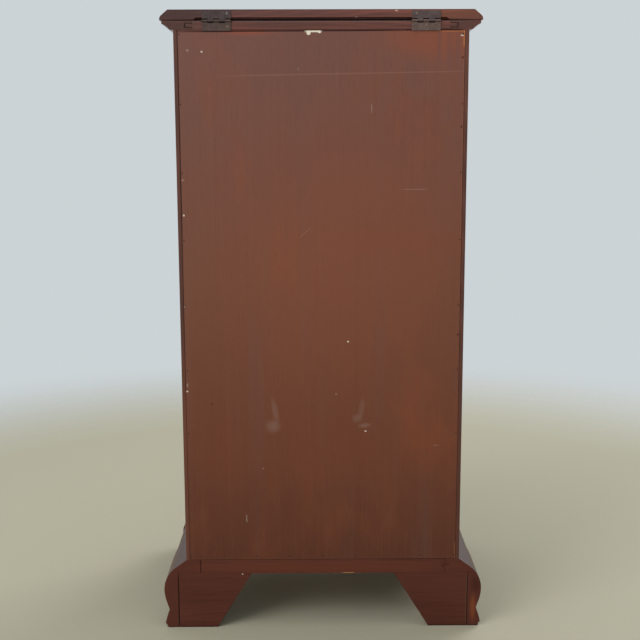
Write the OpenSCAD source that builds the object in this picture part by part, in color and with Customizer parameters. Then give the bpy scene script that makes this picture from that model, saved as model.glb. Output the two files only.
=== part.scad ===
// Tall narrow chest of drawers with a lifting lid, on ogee bracket feet.
// The front faces -Y, the panelled back faces +Y, and it stands on Z = 0.
// Its origin is the middle of the floor that its outline covers. Sizes are in millimetres.

/* [Case] */
// Width over the two side panels
case_w = 563.2; // [500:0.1:640]
// Depth from the rear face to the front edges of the side panels
case_d = 420; // [390:1:480]
// Height of the side panels, from the base frame to the top frame
case_h = 1060.4; // [980:0.1:1180]
// Thickness of a side panel
side_t = 18.5; // [16:0.1:22]
// Thickness of the back panel
back_t = 6; // [4:0.5:8]
// Width of a side panel's rear edge that shows beside the back panel
back_margin = 7.2; // [6:0.1:11]
// Depth of the back panel's outer face inside the rear face of the case
back_recess = 0.6; // [0.2:0.1:2]
// Thickness of the front rails and of the strips behind them
rail_t = 18; // [14:1:22]
// Depth of a front rail from front to back
rail_d = 60; // [45:1:80]
// Depth of the housing in a side panel that holds a rail's end
housing = 5; // [3:0.5:8]
// Thickness of the board that closes the case below the lowest drawer
bottom_t = 18; // [14:1:22]
// Width of a drawer runner
runner_w = 22; // [16:1:30]
// Length of the stop block at the rear end of a runner
stop_l = 14; // [10:1:20]
// Height of the stop block above its runner
stop_h = 16; // [10:1:24]

/* [Nails of the back panel] */
// Number of nails along each side
nail_rows = 9; // [5:1:13]
// Distance of the nails from the panel's head and foot
nail_in = 8; // [6:1:12]
// Radius of a nail's shank
nail_r = 0.7; // [0.5:0.1:1]
// Radius of a nail's head
nail_head_r = 1.3; // [1.1:0.1:1.8]
// Thickness of a nail's head
nail_head_t = 0.75; // [0.5:0.05:1]
// Height of a nail's head above the panel
nail_stand = 0.25; // [0.1:0.05:0.4]
// Length of a nail
nail_l = 16; // [13:1:18]

/* [Compartment under the lid] */
// Height from the compartment's floor board to the top frame
well_h = 84; // [60:1:110]
// Thickness of the compartment's floor board
well_floor_t = 12; // [8:1:16]
// Thickness of the board in front of the compartment
well_front_t = 19; // [16:1:22]

/* [Top frame] */
// Thickness of the top frame
top_t = 17; // [15:0.1:22]
// Reach of the moulding beyond the case
top_out = 21.9; // [16:0.1:25]
// Width of the top frame inside the outer face of the case
top_in = 35.8; // [30:0.1:45]
// Height of the upright fillet at the moulding's outer edge
top_fillet = 5.6; // [3:0.1:8]
// Width of the flat under the moulding, beside the case
top_foot = 4.6; // [3:0.1:8]
// Width of the bevel beside that flat
top_bevel_w = 3; // [2:0.1:4]
// Height of that bevel
top_bevel_h = 1.2; // [0.8:0.1:2]
// Depth of the hollow in the moulding
top_hollow = 1.2; // [0.4:0.1:2]
// Depth of the rear rail of the top frame
top_rail_d = 45; // [38:1:50]
// Thickness of the tongue at each end of the rear rail
tongue_t = 8; // [5:0.5:10]
// Length of the tongue
tongue_l = 13.5; // [8:0.5:18]

/* [Lid] */
// Thickness of the lid
lid_t = 20.3; // [17:0.1:24]
// Reach of the lid beyond the case at the front and sides
lid_out = 25.65; // [22:0.05:32]
// Width of the shaped edge, from the flat top to the widest point
lid_edge_w = 15.85; // [13:0.05:20]
// Radius of the round at the lid's widest point
lid_nose_r = 9.6; // [7:0.1:11]
// Height of the round's centre above the lid's underside
lid_nose_z = 2.5; // [1.5:0.1:4]
// Turn of that round, up from level
lid_nose_turn = 52; // [46:1:58]
// Chamfer under the lid's edge
lid_chamfer = 0.9; // [0.4:0.1:1.4]
// Gap between the shut lid and the top frame
lid_gap = 0.3; // [0.2:0.1:0.6]
// Width of the hollow routed in the lid's lower rear edge
relief_w = 486; // [470:1:500]
// Height of that hollow
relief_h = 5.4; // [3.2:0.1:5.8]
// Depth of that hollow
relief_d = 8; // [5:0.5:12]
// Length that each end of the hollow slopes over
relief_run = 5; // [3:0.5:9]
// Bow of those slopes
relief_bow = 0.6; // [0:0.1:1]
// Angle that the lid opens to
lid_open = 95; // [80:1:98]

/* [Base and feet] */
// Height of the feet under the base frame
foot_h = 117; // [108:1:126]
// Thickness of the base frame
base_t = 30; // [26:1:36]
// Width of the base frame inside the outer face of the case
base_in = 29.4; // [24:0.1:40]
// Depth of the base frame's rear rail
base_rail_d = 60; // [45:1:80]
// Reach of the bulge beyond the case
bulge_out = 47.05; // [44:0.05:52]
// Height of the bulge's widest point above the floor
bulge_z = 82.6; // [76:0.1:88]
// Radius of the bulge above its widest point
bulge_r = 59.3; // [52:0.1:66]
// Fall of the slope above the bulge, from level
slope_fall = 36; // [32:1:42]
// Radius of the bulge below its widest point
belly_r = 80; // [70:1:100]
// Turn of that lower round
belly_turn = 18; // [12:1:22]
// Reach of the ankle beyond the case
ankle_out = 37.05; // [34:0.05:40]
// Height of the ankle above the floor
ankle_z = 39.5; // [34:0.5:46]
// Reach of the toe beyond the case
toe_out = 46.15; // [42:0.05:50]
// Height of the toe's widest point above the floor
toe_z = 9; // [6:0.5:14]
// Width that the toe draws in by at the floor
toe_round = 5; // [3:0.5:8]
// Bow of the toe below its widest point
toe_bow = 1.4; // [0.8:0.1:2]
// Depth of the hollow between the ankle and the toe
toe_hollow = 0.8; // [0:0.1:1.6]
// Distance of a foot board's inner face from the case, which the boards stand outside
foot_in = 17.65; // [14:0.05:22]
// Length of a foot at its top, from the corner of the case
foot_len = 134.5; // [120:0.05:150]
// Length of a foot at the floor, from the corner of the case
foot_toe = 62.3; // [54:0.05:76]
// Length of the small upper curve of a foot board
curl_l = 36; // [28:1:44]
// Height of that curve
curl_h = 30; // [24:1:36]
// Sag of both curves of a foot board
curl_sag = 7; // [4:0.5:9]
// Size of the small step where those curves meet
curl_step = 3; // [2:0.5:4]
// Thickness of the flat boards at the back of the rear feet
foot_back_t = 18; // [15:0.5:22]
// Side of the square glue blocks inside the feet
block_w = 36; // [28:1:44]
// Height that a glue block stops above the floor
block_up = 4; // [3:1:10]

/* [Hinges] */
// Distance of each hinge's middle from the middle of the chest
hinge_x = 199; // [180:1:210]
// Length of a hinge along its pin
hinge_l = 55; // [50:1:60]
// Height of one hinge leaf from the pin's axis
leaf_h = 18.3; // [16.5:0.1:18.6]
// Thickness of a hinge leaf
leaf_t = 1.5; // [1.2:0.1:1.8]
// Outer radius of the knuckles
knuckle_r = 2.1; // [1.9:0.05:2.3]
// Height of the open notch in each leaf beyond the other leaf's knuckles
notch_h = 2.2; // [0.4:0.1:2.6]
// Radius of the hinge pins
pin_r = 1; // [0.8:0.05:1.2]
// Drop of the pin's axis below the top frame's upper face
pin_drop = 0.5; // [0.4:0.1:1]
// Height of a leaf's outer screws, as a share of the leaf's height
screw_side_share = 0.5; // [0.45:0.01:0.6]
// Height of its middle screw, as a share of the leaf's height
screw_mid_share = 0.66; // [0.6:0.01:0.72]
// Reach of the hinge pins beyond the end knuckles
pin_stand = 0.6; // [0.3:0.1:1]
// Length of the wood screws
screw_l = 12; // [8:1:14]
// Radius of a screw's shank
screw_r = 1.2; // [1:0.05:1.4]
// Radius of a screw's head
screw_head_r = 2.3; // [2:0.05:2.5]
// Width of the slot in a screw's head
screw_slot_w = 0.5; // [0.4:0.05:0.7]
// Depth of that slot
screw_slot_d = 0.4; // [0.2:0.05:0.6]

/* [Lid stay] */
// Distance of the arm's pivot in front of the hinge axis
stay_f = 62; // [58:1:70]
// Drop of the arm's pivot below the hinge axis
stay_drop = 9; // [8:0.5:10]
// Length of the arm between its pivot and its pin
stay_arm = 110; // [100:1:114]
// Angle of the arm below level while the lid is shut
stay_start = 4; // [3:0.5:6]
// Turn of the arm for each degree that the lid turns
stay_ratio = 1.3; // [1.25:0.01:1.32]
// Thickness of the stay's strips
stay_t = 2; // [1.5:0.1:2.5]
// Radius of the arm's round end at its pin
stay_eye_r = 5; // [4.5:0.1:5.4]
// Half width of the arm between its ends
stay_w = 4; // [3:0.1:4.2]
// Radius of the pin that slides in the guide
stay_pin_r = 2; // [1.5:0.1:2.5]
// Radius of the arm's pivot
stay_pivot_r = 2.4; // [2:0.1:2.8]
// Width of metal round the guide's slot
stay_rim = 5; // [4:0.5:6]
// Width of the flange that holds the guide to the lid
flange_w = 12; // [10:1:16]
// Gap between the plate that carries the arm's pivot and the rear rail
stay_plate_gap = 1; // [0.5:0.1:2]
// Height of that plate
stay_plate_h = 14; // [12:0.5:15]
// Thickness of the heads of the pivot and the pin
stay_head_t = 1.2; // [1:0.1:1.5]
// Reach of those heads beyond what they hold
stay_head_w = 1.4; // [1:0.1:2]

/* [Drawers] */
// Growth in height from each drawer to the next one down
drawer_step = 12; // [0:1:16]
// Thickness of a drawer front
front_t = 19; // [17:0.5:22]
// Gap between a drawer and the case on each side
drawer_gap = 1.2; // [0.6:0.1:2]
// Gap above a drawer front
front_gap_top = 1.5; // [1:0.1:2.5]
// Gap under a drawer front
front_gap_low = 1.2; // [0.8:0.1:2]
// Gap between a drawer's sides and its runners
run_gap = 0.3; // [0.2:0.1:0.5]
// Thickness of a drawer's sides and back
box_t = 10; // [9:0.5:12]
// Height that a drawer's sides stop below the top of its front
box_low = 9; // [6:1:14]
// Thickness of a drawer's bottom
pan_t = 6; // [4:0.5:7]
// Height of a drawer's bottom above the lower edge of its sides
pan_up = 10; // [8:0.5:14]
// Depth of the grooves that hold the bottom and the back
groove = 4; // [3:0.5:5]
// Distance of a drawer's back from the rear ends of its sides
back_inset = 30; // [22:1:40]
// Number of dovetails on each side
tail_count = 3; // [2:1:4]
// Length of a dovetail
tail_l = 12; // [10:0.5:14]
// Half width of a dovetail at its root
tail_root = 9; // [7:0.5:10]
// Half width of a dovetail at its end
tail_end = 11.5; // [10.5:0.5:12]
// Gap between glued pieces of one drawer box
glue_gap = 0.1; // [0.05:0.05:0.2]
// Reach of the bead that stands out round a drawer front
bead_out = 1.6; // [1:0.1:2.4]
// Width of that bead
bead_w = 3; // [2:0.5:4]

/* [Handles] */
// Distance of each handle's middle from the middle of a drawer
pull_x = 150; // [120:1:170]
// Height of a handle's posts above the middle of the drawer front
pull_up = 7; // [0:1:14]
// Half of the distance between the two posts
post_x = 38; // [34:0.5:42]
// Distance of the bail's axis in front of the drawer front
post_out = 12; // [11:0.5:15]
// Radius of a post's neck
post_neck_r = 3.6; // [3:0.1:4.2]
// Radius of a post's ball
post_r = 5.6; // [5.2:0.1:6]
// Radius of the collar at a post's foot
collar_r = 6.6; // [5.8:0.1:6.8]
// Thickness of that collar
collar_t = 1.8; // [1.4:0.1:2.4]
// Depth that a pivot's bore stops before the middle of its post
bore_stop = 0.8; // [0.5:0.1:1.2]
// Gap between the end of a pivot and the end of its bore
bore_gap = 0.6; // [0.3:0.1:1]
// Radius of the bolt behind a post
bolt_r = 2.5; // [2:0.1:3]
// Thickness of the nut on that bolt
nut_t = 3; // [2.5:0.5:4]
// Reach of the bolt beyond its nut
bolt_end = 2.4; // [1:0.1:4]
// Thickness of a handle's plate
plate_t = 1.5; // [1:0.1:2]
// Half of the length of the plate
plate_l = 56; // [50:1:60]
// Half of the height of the plate
plate_h = 19; // [15:1:21]
// Radius of the bail's rod
bail_r = 2.2; // [1.9:0.1:2.5]
// Radius of the bail's pivot ends
bail_pin_r = 1.5; // [1.2:0.1:1.7]
// Length of the bail's straight arms
bail_arm = 8; // [7:0.5:12]
// Radius of the bail's corners
bail_bend_r = 15; // [12:0.5:18]
// Turn of the bail's corners
bail_turn = 75; // [70:1:80]
// Running gap round the pivots of the handles, hinges and stay
pivot_gap = 0.05; // [0.03:0.01:0.08]
// Side gap between moving metal pieces
side_gap = 0.4; // [0.3:0.05:0.6]

/* [Hidden] */

mahogany = [0.40, 0.22, 0.16];
dark_mahogany = [0.30, 0.16, 0.12];
pale_wood = [0.72, 0.57, 0.40];
old_bronze = [0.27, 0.23, 0.21];
brass = [0.72, 0.56, 0.28];

// Facets of small rounds, of larger rounds and of the handles' balls
small_fn = 24;
round_fn = 32;
ball_fn = 48;
// Overrun of a cut beyond the face that it starts from
cut = 1;

drawers = 5;
barrel_stand = 0.1;
half_w = case_w / 2;
hinge_out = 2 * knuckle_r + barrel_stand;
total_d = bulge_out + case_d + hinge_out;
y_back = total_d / 2 - hinge_out;
y_front = y_back - case_d;
base_top = foot_h + base_t;
case_top = base_top + case_h;
frame_top = case_top + top_t;
lid_low = frame_top + lid_gap;
lid_high = lid_low + lid_t;
inner_w = case_w - 2 * side_t;
back_in = y_back - back_recess - back_t;
reach = 4 * (bulge_out + top_in + base_in);

axis_y = y_back + knuckle_r + barrel_stand;
axis_z = frame_top - pin_drop;
stay_x = half_w - top_in;
stay_plate_l = 2 * (y_back - top_rail_d - axis_y + stay_f - stay_plate_gap);
arm_x = stay_x - 2 * stay_t - side_gap;
guide_x = arm_x - stay_t - side_gap;

bottom_top = base_top + bottom_t;
well_low = case_top - well_h - well_floor_t;
mean_h = (well_low - bottom_top - drawers * rail_t) / drawers;

bead_step = 0.2;
bail_x = post_x + post_r + side_gap + bail_r + 2 * bead_step;
bow_half = bail_x - bail_bend_r * (1 - cos(bail_turn));
bow_r = bow_half / sin(90 - bail_turn);

// Points of a round stretch: centre, radius, first and last angle, and number of steps
function arc(c, r, a, b, n) = [for (i = [0:n]) c + r * [cos(a + (b - a) * i / n), sin(a + (b - a) * i / n)]];

// Points from p to q that bow to the left by sag at mid way
function bow(p, q, sag, n) = [
  for (i = [0:n])
    let (t = i / n, d = q - p)
      p + d * t + sag * 4 * t * (1 - t) * [-d[1], d[0]] / norm(d)
];

function reversed(list) = [for (i = [len(list) - 1:-1:0]) list[i]];
function flipped(list) = [for (p = list) [-p[0], p[1]]];

// Height of a drawer's opening, counted from 1 at the top, and the height of its floor
function opening_h(i) = mean_h + (i - (drawers + 1) / 2) * drawer_step;
function opening_z(i) = i == drawers ? bottom_top : opening_z(i + 1) + opening_h(i + 1) + rail_t;

// Outline of the base, as reach beyond the case and height above the floor
base_curve = concat(
  [[0, base_top]],
  arc([bulge_out - bulge_r, bulge_z], bulge_r, 90 - slope_fall, 0, 14),
  arc([bulge_out - belly_r, bulge_z], belly_r, 0, -belly_turn, 5),
  bow([ankle_out, ankle_z], [toe_out, toe_z], toe_hollow, 6),
  bow([toe_out, toe_z], [toe_out - toe_round, 0], -toe_bow, 6)
);

// Outline of the top frame's moulding, from its foot to its upper edge
top_curve = concat(
  [[0, 0], [top_foot, 0]],
  bow([top_foot + top_bevel_w, top_bevel_h], [top_out, top_t - top_fillet], top_hollow, 8),
  [[top_out, top_t]]
);

// Outline of the lid's edge, from the underside to the flat top
lid_curve = concat(
  [[lid_out - lid_chamfer, 0], [lid_out, lid_chamfer]],
  arc([lid_out - lid_nose_r, lid_nose_z], lid_nose_r, 0, lid_nose_turn, 8),
  [[lid_out - lid_edge_w, lid_t]]
);

// Inner end of a shaped foot board, as length from the corner and height above the floor
curl_x = foot_len - curl_l;
curl_z = foot_h - curl_h;
bracket_curve = concat(
  bow([foot_toe, 0], [curl_x, curl_z - 2 * curl_step], curl_sag, 8),
  [[curl_x, curl_z]],
  bow([curl_x + curl_step, curl_z + curl_step], [foot_len - curl_step, foot_h - 2 * curl_step], curl_sag, 8),
  [[foot_len, foot_h - 2 * curl_step], [foot_len, foot_h]]
);
bracket_shape = concat([[-bulge_out - cut, foot_h], [-bulge_out - cut, 0]], bracket_curve);

// Right and left: the right half's shape, mirrored for the left
module on_side(s) {
  mirror([s < 0 ? 1 : 0, 0, 0]) children();
}

// A flat outline, reach by height, run along the right side of the case and mitred at the front
module side_run() {
  intersection() {
    translate([half_w, y_back, 0]) rotate([90, 0, 0]) linear_extrude(case_d + reach) children();
    linear_extrude(lid_high)
      polygon([
        [half_w - reach, y_front + reach], [half_w + reach, y_front - reach],
        [half_w + reach, y_back + reach], [half_w - reach, y_back + reach]
      ]);
  }
}

// The same outline run across the front of the case and mitred at both ends
module front_run() {
  intersection() {
    translate([half_w + reach, y_front, 0]) rotate([90, 0, -90])
      linear_extrude(case_w + 2 * reach) children();
    linear_extrude(lid_high)
      polygon([
        [-half_w - reach, y_front - reach], [half_w + reach, y_front - reach],
        [half_w, y_front], [half_w - base_in - top_in, y_front + base_in + top_in],
        [base_in + top_in - half_w, y_front + base_in + top_in], [-half_w, y_front]
      ]);
  }
}

// A flat outline in Y and Z, run along X
module across(x, l) {
  translate([x, 0, 0]) rotate([90, 0, 90]) linear_extrude(l) children();
}

// The base outline between two heights, out to the case's face less a width
module base_band(z0, z1, inner) {
  intersection() {
    polygon(concat(base_curve, [[-base_in, 0], [-base_in, base_top]]));
    translate([inner, z0]) square([bulge_out - inner + cut, z1 - z0]);
  }
}

module top_band() {
  translate([0, case_top]) polygon(concat(top_curve, [[-top_in, top_t], [-top_in, 0]]));
}

// Sides, back and inside of the case

// The strips and rails that a side panel holds in housings, as one block at each level
module level_block(z, x, l, y, d) {
  translate([x, y, z]) cube([l, d, rail_t]);
}

module front_rail(i) {
  level_block(opening_z(i) + opening_h(i), -inner_w / 2 - housing, inner_w + 2 * housing, y_front, rail_d);
}

module runner(i) {
  run_y = y_front + rail_d + glue_gap;
  run_x = inner_w / 2 - runner_w;
  level_block(opening_z(i) + opening_h(i), run_x, runner_w + housing, run_y, back_in - run_y);
}

module stop_block(z) {
  translate([inner_w / 2 - runner_w, back_in - stop_l, z + glue_gap])
    cube([runner_w - drawer_gap, stop_l, stop_h]);
}

module side_panel(s) {
  color(mahogany)
    on_side(s)
      difference() {
        translate([half_w - side_t, y_front, base_top]) cube([side_t, case_d, case_h]);
        translate([half_w - side_t - cut, back_in, base_top - cut])
          cube([side_t - back_margin + cut, back_t + back_recess + cut, case_h + 2 * cut]);
        for (i = [1:drawers]) {
          front_rail(i);
          runner(i);
        }
      }
}

module back_panel() {
  color(mahogany)
    translate([glue_gap - half_w + back_margin, back_in, base_top])
      cube([case_w - 2 * back_margin - 2 * glue_gap, back_t, case_h]);
}

// Nails along the sides, head and foot of the back panel
module nail(x, z) {
  translate([x, y_back - back_recess + nail_stand, z]) rotate([90, 0, 0]) {
    cylinder(r = nail_head_r, h = nail_head_t, $fn = small_fn);
    cylinder(r = nail_r, h = nail_l, $fn = small_fn);
  }
}

module back_panel_nails() {
  nail_x = half_w - back_margin - nail_in / 2;
  nail_step = (case_h - 2 * nail_in) / (nail_rows - 1);
  color(old_bronze) {
    for (k = [0:nail_rows - 1], s = [-1, 1])
      nail(s * nail_x, base_top + nail_in + k * nail_step);
    for (k = [-3:3])
      nail(k * nail_x / 4, base_top + nail_in);
  }
}

module compartment_floor() {
  color(pale_wood)
    translate([-inner_w / 2, y_front + well_front_t, well_low])
      cube([inner_w, back_in - y_front - well_front_t, well_floor_t]);
}

module compartment_front() {
  color(mahogany)
    translate([-inner_w / 2, y_front, well_low]) cube([inner_w, well_front_t, case_top - well_low]);
}

module front_rails() {
  color(mahogany)
    for (i = [1:drawers]) front_rail(i);
}

module drawer_runners() {
  color(pale_wood)
    for (s = [-1, 1])
      on_side(s) {
        for (i = [1:drawers]) runner(i);
        for (i = [1:drawers]) stop_block(opening_z(i));
      }
}

module case_bottom() {
  color(pale_wood)
    translate([-inner_w / 2, y_front, base_top]) cube([inner_w, back_in - y_front, bottom_t]);
}

// Top frame, which carries the lid

module tongue() {
  translate([stay_x, y_back - top_rail_d, case_top + (top_t - tongue_t) / 2])
    cube([tongue_l, top_rail_d, tongue_t]);
}

module top_frame_side(s) {
  color(mahogany)
    on_side(s)
      difference() {
        side_run() top_band();
        tongue();
      }
}

module top_frame_rear_rail() {
  color(mahogany)
    union() {
      translate([-stay_x, y_back - top_rail_d, case_top]) cube([2 * stay_x, top_rail_d, top_t]);
      for (s = [-1, 1]) on_side(s) tongue();
    }
}

module top_frame_front_rail() {
  color(mahogany) front_run() top_band();
}

// Base frame and the feet under it

module base_frame_side(s) {
  color(dark_mahogany) on_side(s) side_run() base_band(foot_h, base_top, -base_in);
}

module base_frame_rear_rail() {
  color(dark_mahogany)
    translate([base_in - half_w, y_back - base_rail_d, foot_h])
      cube([case_w - 2 * base_in, base_rail_d, base_t]);
}

module base_frame_front_rail() {
  color(dark_mahogany) front_run() base_band(foot_h, base_top, -base_in);
}

module rear_foot_side(s) {
  color(dark_mahogany)
    on_side(s)
      intersection() {
        side_run() base_band(0, foot_h, foot_in);
        translate([0, y_back, 0]) across(0, case_w) polygon(flipped(bracket_shape));
      }
}

module front_foot_side(s) {
  color(dark_mahogany)
    on_side(s)
      intersection() {
        side_run() base_band(0, foot_h, foot_in);
        translate([0, y_front, 0]) across(0, case_w) polygon(bracket_shape);
      }
}

module front_foot_front(s) {
  color(dark_mahogany)
    on_side(s)
      intersection() {
        front_run() base_band(0, foot_h, foot_in);
        translate([half_w, y_front, 0]) rotate([90, 0, 0])
          linear_extrude(reach) polygon(flipped(bracket_shape));
      }
}

module rear_foot_back(s) {
  color(dark_mahogany)
    on_side(s)
      translate([half_w, y_back, 0]) rotate([90, 0, 0])
        linear_extrude(foot_back_t)
          polygon([[foot_in, 0], [foot_in, foot_h], [-foot_len, foot_h], [-foot_toe, 0]]);
}

module foot_glue_blocks() {
  block_x = half_w + foot_in - block_w;
  color(pale_wood)
    for (s = [-1, 1], y = [y_front - foot_in, y_back - foot_back_t - block_w])
      on_side(s)
        translate([block_x, y, block_up]) cube([block_w, block_w, foot_h - block_up]);
}

// Lid and its hinges

module lid() {
  right_edge = [for (p = lid_curve) [half_w + p[0], p[1]]];
  front_edge = [for (p = lid_curve) [y_front - p[0], p[1]]];
  color(mahogany)
    translate([0, 0, lid_low])
      difference() {
        intersection() {
          translate([0, y_back, 0]) rotate([90, 0, 0])
            linear_extrude(case_d + reach) polygon(concat(right_edge, reversed(flipped(right_edge))));
          across(-case_w, 2 * case_w) polygon(concat(front_edge, [[y_back, lid_t], [y_back, 0]]));
        }
        translate([0, y_back + cut, 0]) rotate([90, 0, 0])
          linear_extrude(relief_d + cut)
            polygon(concat(
              [[-relief_w / 2, -cut]],
              bow([-relief_w / 2, 0], [relief_run - relief_w / 2, relief_h], relief_bow, 5),
              bow([relief_w / 2 - relief_run, relief_h], [relief_w / 2, 0], relief_bow, 5),
              [[relief_w / 2, -cut]]
            ));
      }
}

knuckles = 5;
knuckle_l = hinge_l / knuckles;

// Knuckle k of a hinge with its middle at X = 0
module knuckle(k) {
  translate([-hinge_l / 2 + k * knuckle_l + side_gap / 2, axis_y, axis_z]) rotate([0, 90, 0])
    cylinder(r = knuckle_r, h = knuckle_l - side_gap, $fn = round_fn);
}

// One leaf, upwards for dir 1 and downwards for dir -1, with every second knuckle from the first
module hinge_leaf(dir, first) {
  difference() {
    union() {
      translate([-hinge_l / 2, y_back, dir > 0 ? axis_z : axis_z - leaf_h]) cube([hinge_l, leaf_t, leaf_h]);
      for (k = [first:2:knuckles - 1]) knuckle(k);
    }
    for (k = [1 - first:2:knuckles - 1])
      translate([-hinge_l / 2 + k * knuckle_l - side_gap / 2, y_back - cut, axis_z - knuckle_r - notch_h])
        cube([knuckle_l + side_gap, 2 * hinge_out, 2 * (knuckle_r + notch_h)]);
    translate([-hinge_l, axis_y, axis_z]) rotate([0, 90, 0])
      cylinder(r = pin_r + pivot_gap, h = 2 * hinge_l, $fn = small_fn);
    leaf_screws(dir, glue_gap);
  }
}

// The three screws of one leaf, widened by a margin where they are cut from it
module leaf_screws(dir, margin) {
  for (k = [-1:1]) {
    share = k == 0 ? screw_mid_share : screw_side_share;
    translate([k * hinge_l / 3, y_back + leaf_t, axis_z + dir * leaf_h * share])
      rotate([90, 0, 0]) wood_screw(margin);
  }
}

// A countersunk screw, driven along +Z from its head's face at Z = 0
module wood_screw(margin) {
  difference() {
    union() {
      cylinder(r1 = screw_head_r + margin, r2 = screw_r + margin, h = screw_head_r - screw_r, $fn = small_fn);
      cylinder(r = screw_r + margin, h = screw_l, $fn = small_fn);
    }
    if (margin == 0)
      translate([-screw_head_r, -screw_slot_w / 2, -cut])
        cube([2 * screw_head_r, screw_slot_w, cut + screw_slot_d]);
  }
}

module case_hinge_leaves() {
  color(old_bronze)
    for (s = [-1, 1]) translate([s * hinge_x, 0, 0]) hinge_leaf(-1, 0);
}

module lid_hinge_leaves() {
  color(old_bronze)
    for (s = [-1, 1]) translate([s * hinge_x, 0, 0]) hinge_leaf(1, 1);
}

module hinge_pins() {
  color(old_bronze)
    for (s = [-1, 1])
      translate([s * hinge_x - hinge_l / 2 - pin_stand, axis_y, axis_z]) rotate([0, 90, 0])
        cylinder(r = pin_r, h = hinge_l + 2 * pin_stand, $fn = small_fn);
}

// Lid stay: an arm pivoted on the top frame, whose pin slides in a guide on the lid

// Reach in front of the hinge axis and height above it, as a flat outline, at a depth along X
module stay_plane(x, l) {
  translate([x, axis_y, axis_z]) mirror([0, 1, 0]) across(0, l) children();
}

function turned(p, a) = [p[0] * cos(a) - p[1] * sin(a), p[0] * sin(a) + p[1] * cos(a)];
function arm_pin(a) = [stay_f, -stay_drop] + turned([stay_arm, 0], stay_ratio * a - stay_start);
slot_steps = 24;
slot_path = [for (i = [0:slot_steps]) turned(arm_pin(lid_open * i / slot_steps), -lid_open * i / slot_steps)];
slot_r = stay_pin_r + side_gap;

// The slot's path moved sideways, to the front of its run for a positive distance
function beside(path, d) = [
  for (i = [0:len(path) - 1])
    let (v = path[min(i + 1, len(path) - 1)] - path[max(i - 1, 0)])
      path[i] + d * [-v[1], v[0]] / norm(v)
];

module slot_ends(r) {
  for (p = [slot_path[0], slot_path[slot_steps]]) translate(p) circle(r = r, $fn = round_fn);
}

module lid_stay_guide() {
  rim = slot_r + stay_rim;
  flange_top = lid_low - axis_z;
  first = slot_path[0];
  last = slot_path[slot_steps];
  color(brass)
    union() {
      stay_plane(guide_x - stay_t, stay_t)
        difference() {
          union() {
            polygon(concat([[first[0] + rim, flange_top], [last[0] - rim, flange_top]],
              [last - [rim, 0]], reversed(beside(slot_path, rim)), [first + [rim, 0]]));
            slot_ends(rim);
          }
          polygon(concat(beside(slot_path, slot_r), reversed(beside(slot_path, -slot_r))));
          slot_ends(slot_r);
        }
      difference() {
        stay_plane(guide_x - flange_w, flange_w)
          polygon([[first[0] + rim, flange_top], [last[0] - rim, flange_top],
            [last[0] - rim, flange_top - stay_t], [first[0] + rim, flange_top - stay_t]]);
        flange_screws(glue_gap);
      }
    }
}

module flange_screws(margin) {
  for (f = [slot_path[slot_steps][0], slot_path[0][0]])
    translate([guide_x - flange_w / 2 - stay_t / 2, axis_y - f, lid_low - stay_t]) wood_screw(margin);
}

module bracket_screws(margin) {
  for (f = [-1, 1])
    translate([stay_x - stay_t, axis_y - stay_f + f * stay_plate_l / 3, axis_z - stay_drop])
      rotate([0, 90, 0]) wood_screw(margin);
}

module lid_stay_bracket() {
  color(brass)
    union() {
      difference() {
        translate([stay_x - stay_t, axis_y - stay_f, axis_z - stay_drop])
          translate([0, -stay_plate_l / 2, -stay_plate_h / 2]) cube([stay_t, stay_plate_l, stay_plate_h]);
        bracket_screws(glue_gap);
      }
      translate([arm_x - side_gap - stay_head_t, axis_y - stay_f, axis_z - stay_drop]) rotate([0, 90, 0]) {
        cylinder(r = stay_pivot_r, h = stay_x - stay_t / 2 - arm_x + side_gap + stay_head_t, $fn = round_fn);
        cylinder(r = stay_pivot_r + stay_head_w, h = stay_head_t, $fn = round_fn);
      }
    }
}

module lid_stay_arm() {
  pin = arm_pin(0);
  pivot = [stay_f, -stay_drop];
  color(brass)
    union() {
      stay_plane(arm_x, stay_t)
        difference() {
          union() {
            translate(pivot) circle(r = stay_eye_r + side_gap, $fn = round_fn);
            translate(pin) circle(r = stay_eye_r, $fn = round_fn);
            translate(pivot) rotate(-stay_start) translate([0, -stay_w]) square([stay_arm, 2 * stay_w]);
          }
          translate(pivot) circle(r = stay_pivot_r + pivot_gap, $fn = round_fn);
        }
      stay_plane(guide_x - stay_t - side_gap, arm_x + stay_t / 2 - guide_x + stay_t + side_gap)
        translate(pin) circle(r = stay_pin_r, $fn = round_fn);
      stay_plane(guide_x - stay_t - side_gap - stay_head_t, stay_head_t)
        translate(pin) circle(r = slot_r + stay_head_w, $fn = round_fn);
    }
}

module case_screws() {
  color(old_bronze) {
    for (s = [-1, 1]) translate([s * hinge_x, 0, 0]) leaf_screws(-1, 0);
    bracket_screws(0);
  }
}

module lid_screws() {
  color(old_bronze) {
    for (s = [-1, 1]) translate([s * hinge_x, 0, 0]) leaf_screws(1, 0);
    flange_screws(0);
  }
}

// Drawers

drawer_half = inner_w / 2 - drawer_gap;
box_front = y_front + front_t;
box_rear = back_in - stop_l - run_gap;

function front_low(i) = opening_z(i) + front_gap_low;
function front_h(i) = opening_h(i) - front_gap_low - front_gap_top;
function box_low_z(i) = opening_z(i) + run_gap;
function box_h(i) = front_low(i) + front_h(i) - box_low - box_low_z(i);
function pull_z(i) = front_low(i) + front_h(i) / 2 + pull_up;

// The dovetails that a drawer's right side sets into its front
module tails(i) {
  across(drawer_half - box_t, box_t)
    for (k = [0:tail_count - 1])
      translate([box_front, box_low_z(i) + box_h(i) * (2 * k + 1) / (2 * tail_count)])
        polygon([[0, -tail_root], [0, tail_root], [-tail_l, tail_end], [-tail_l, -tail_end]]);
}

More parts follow.
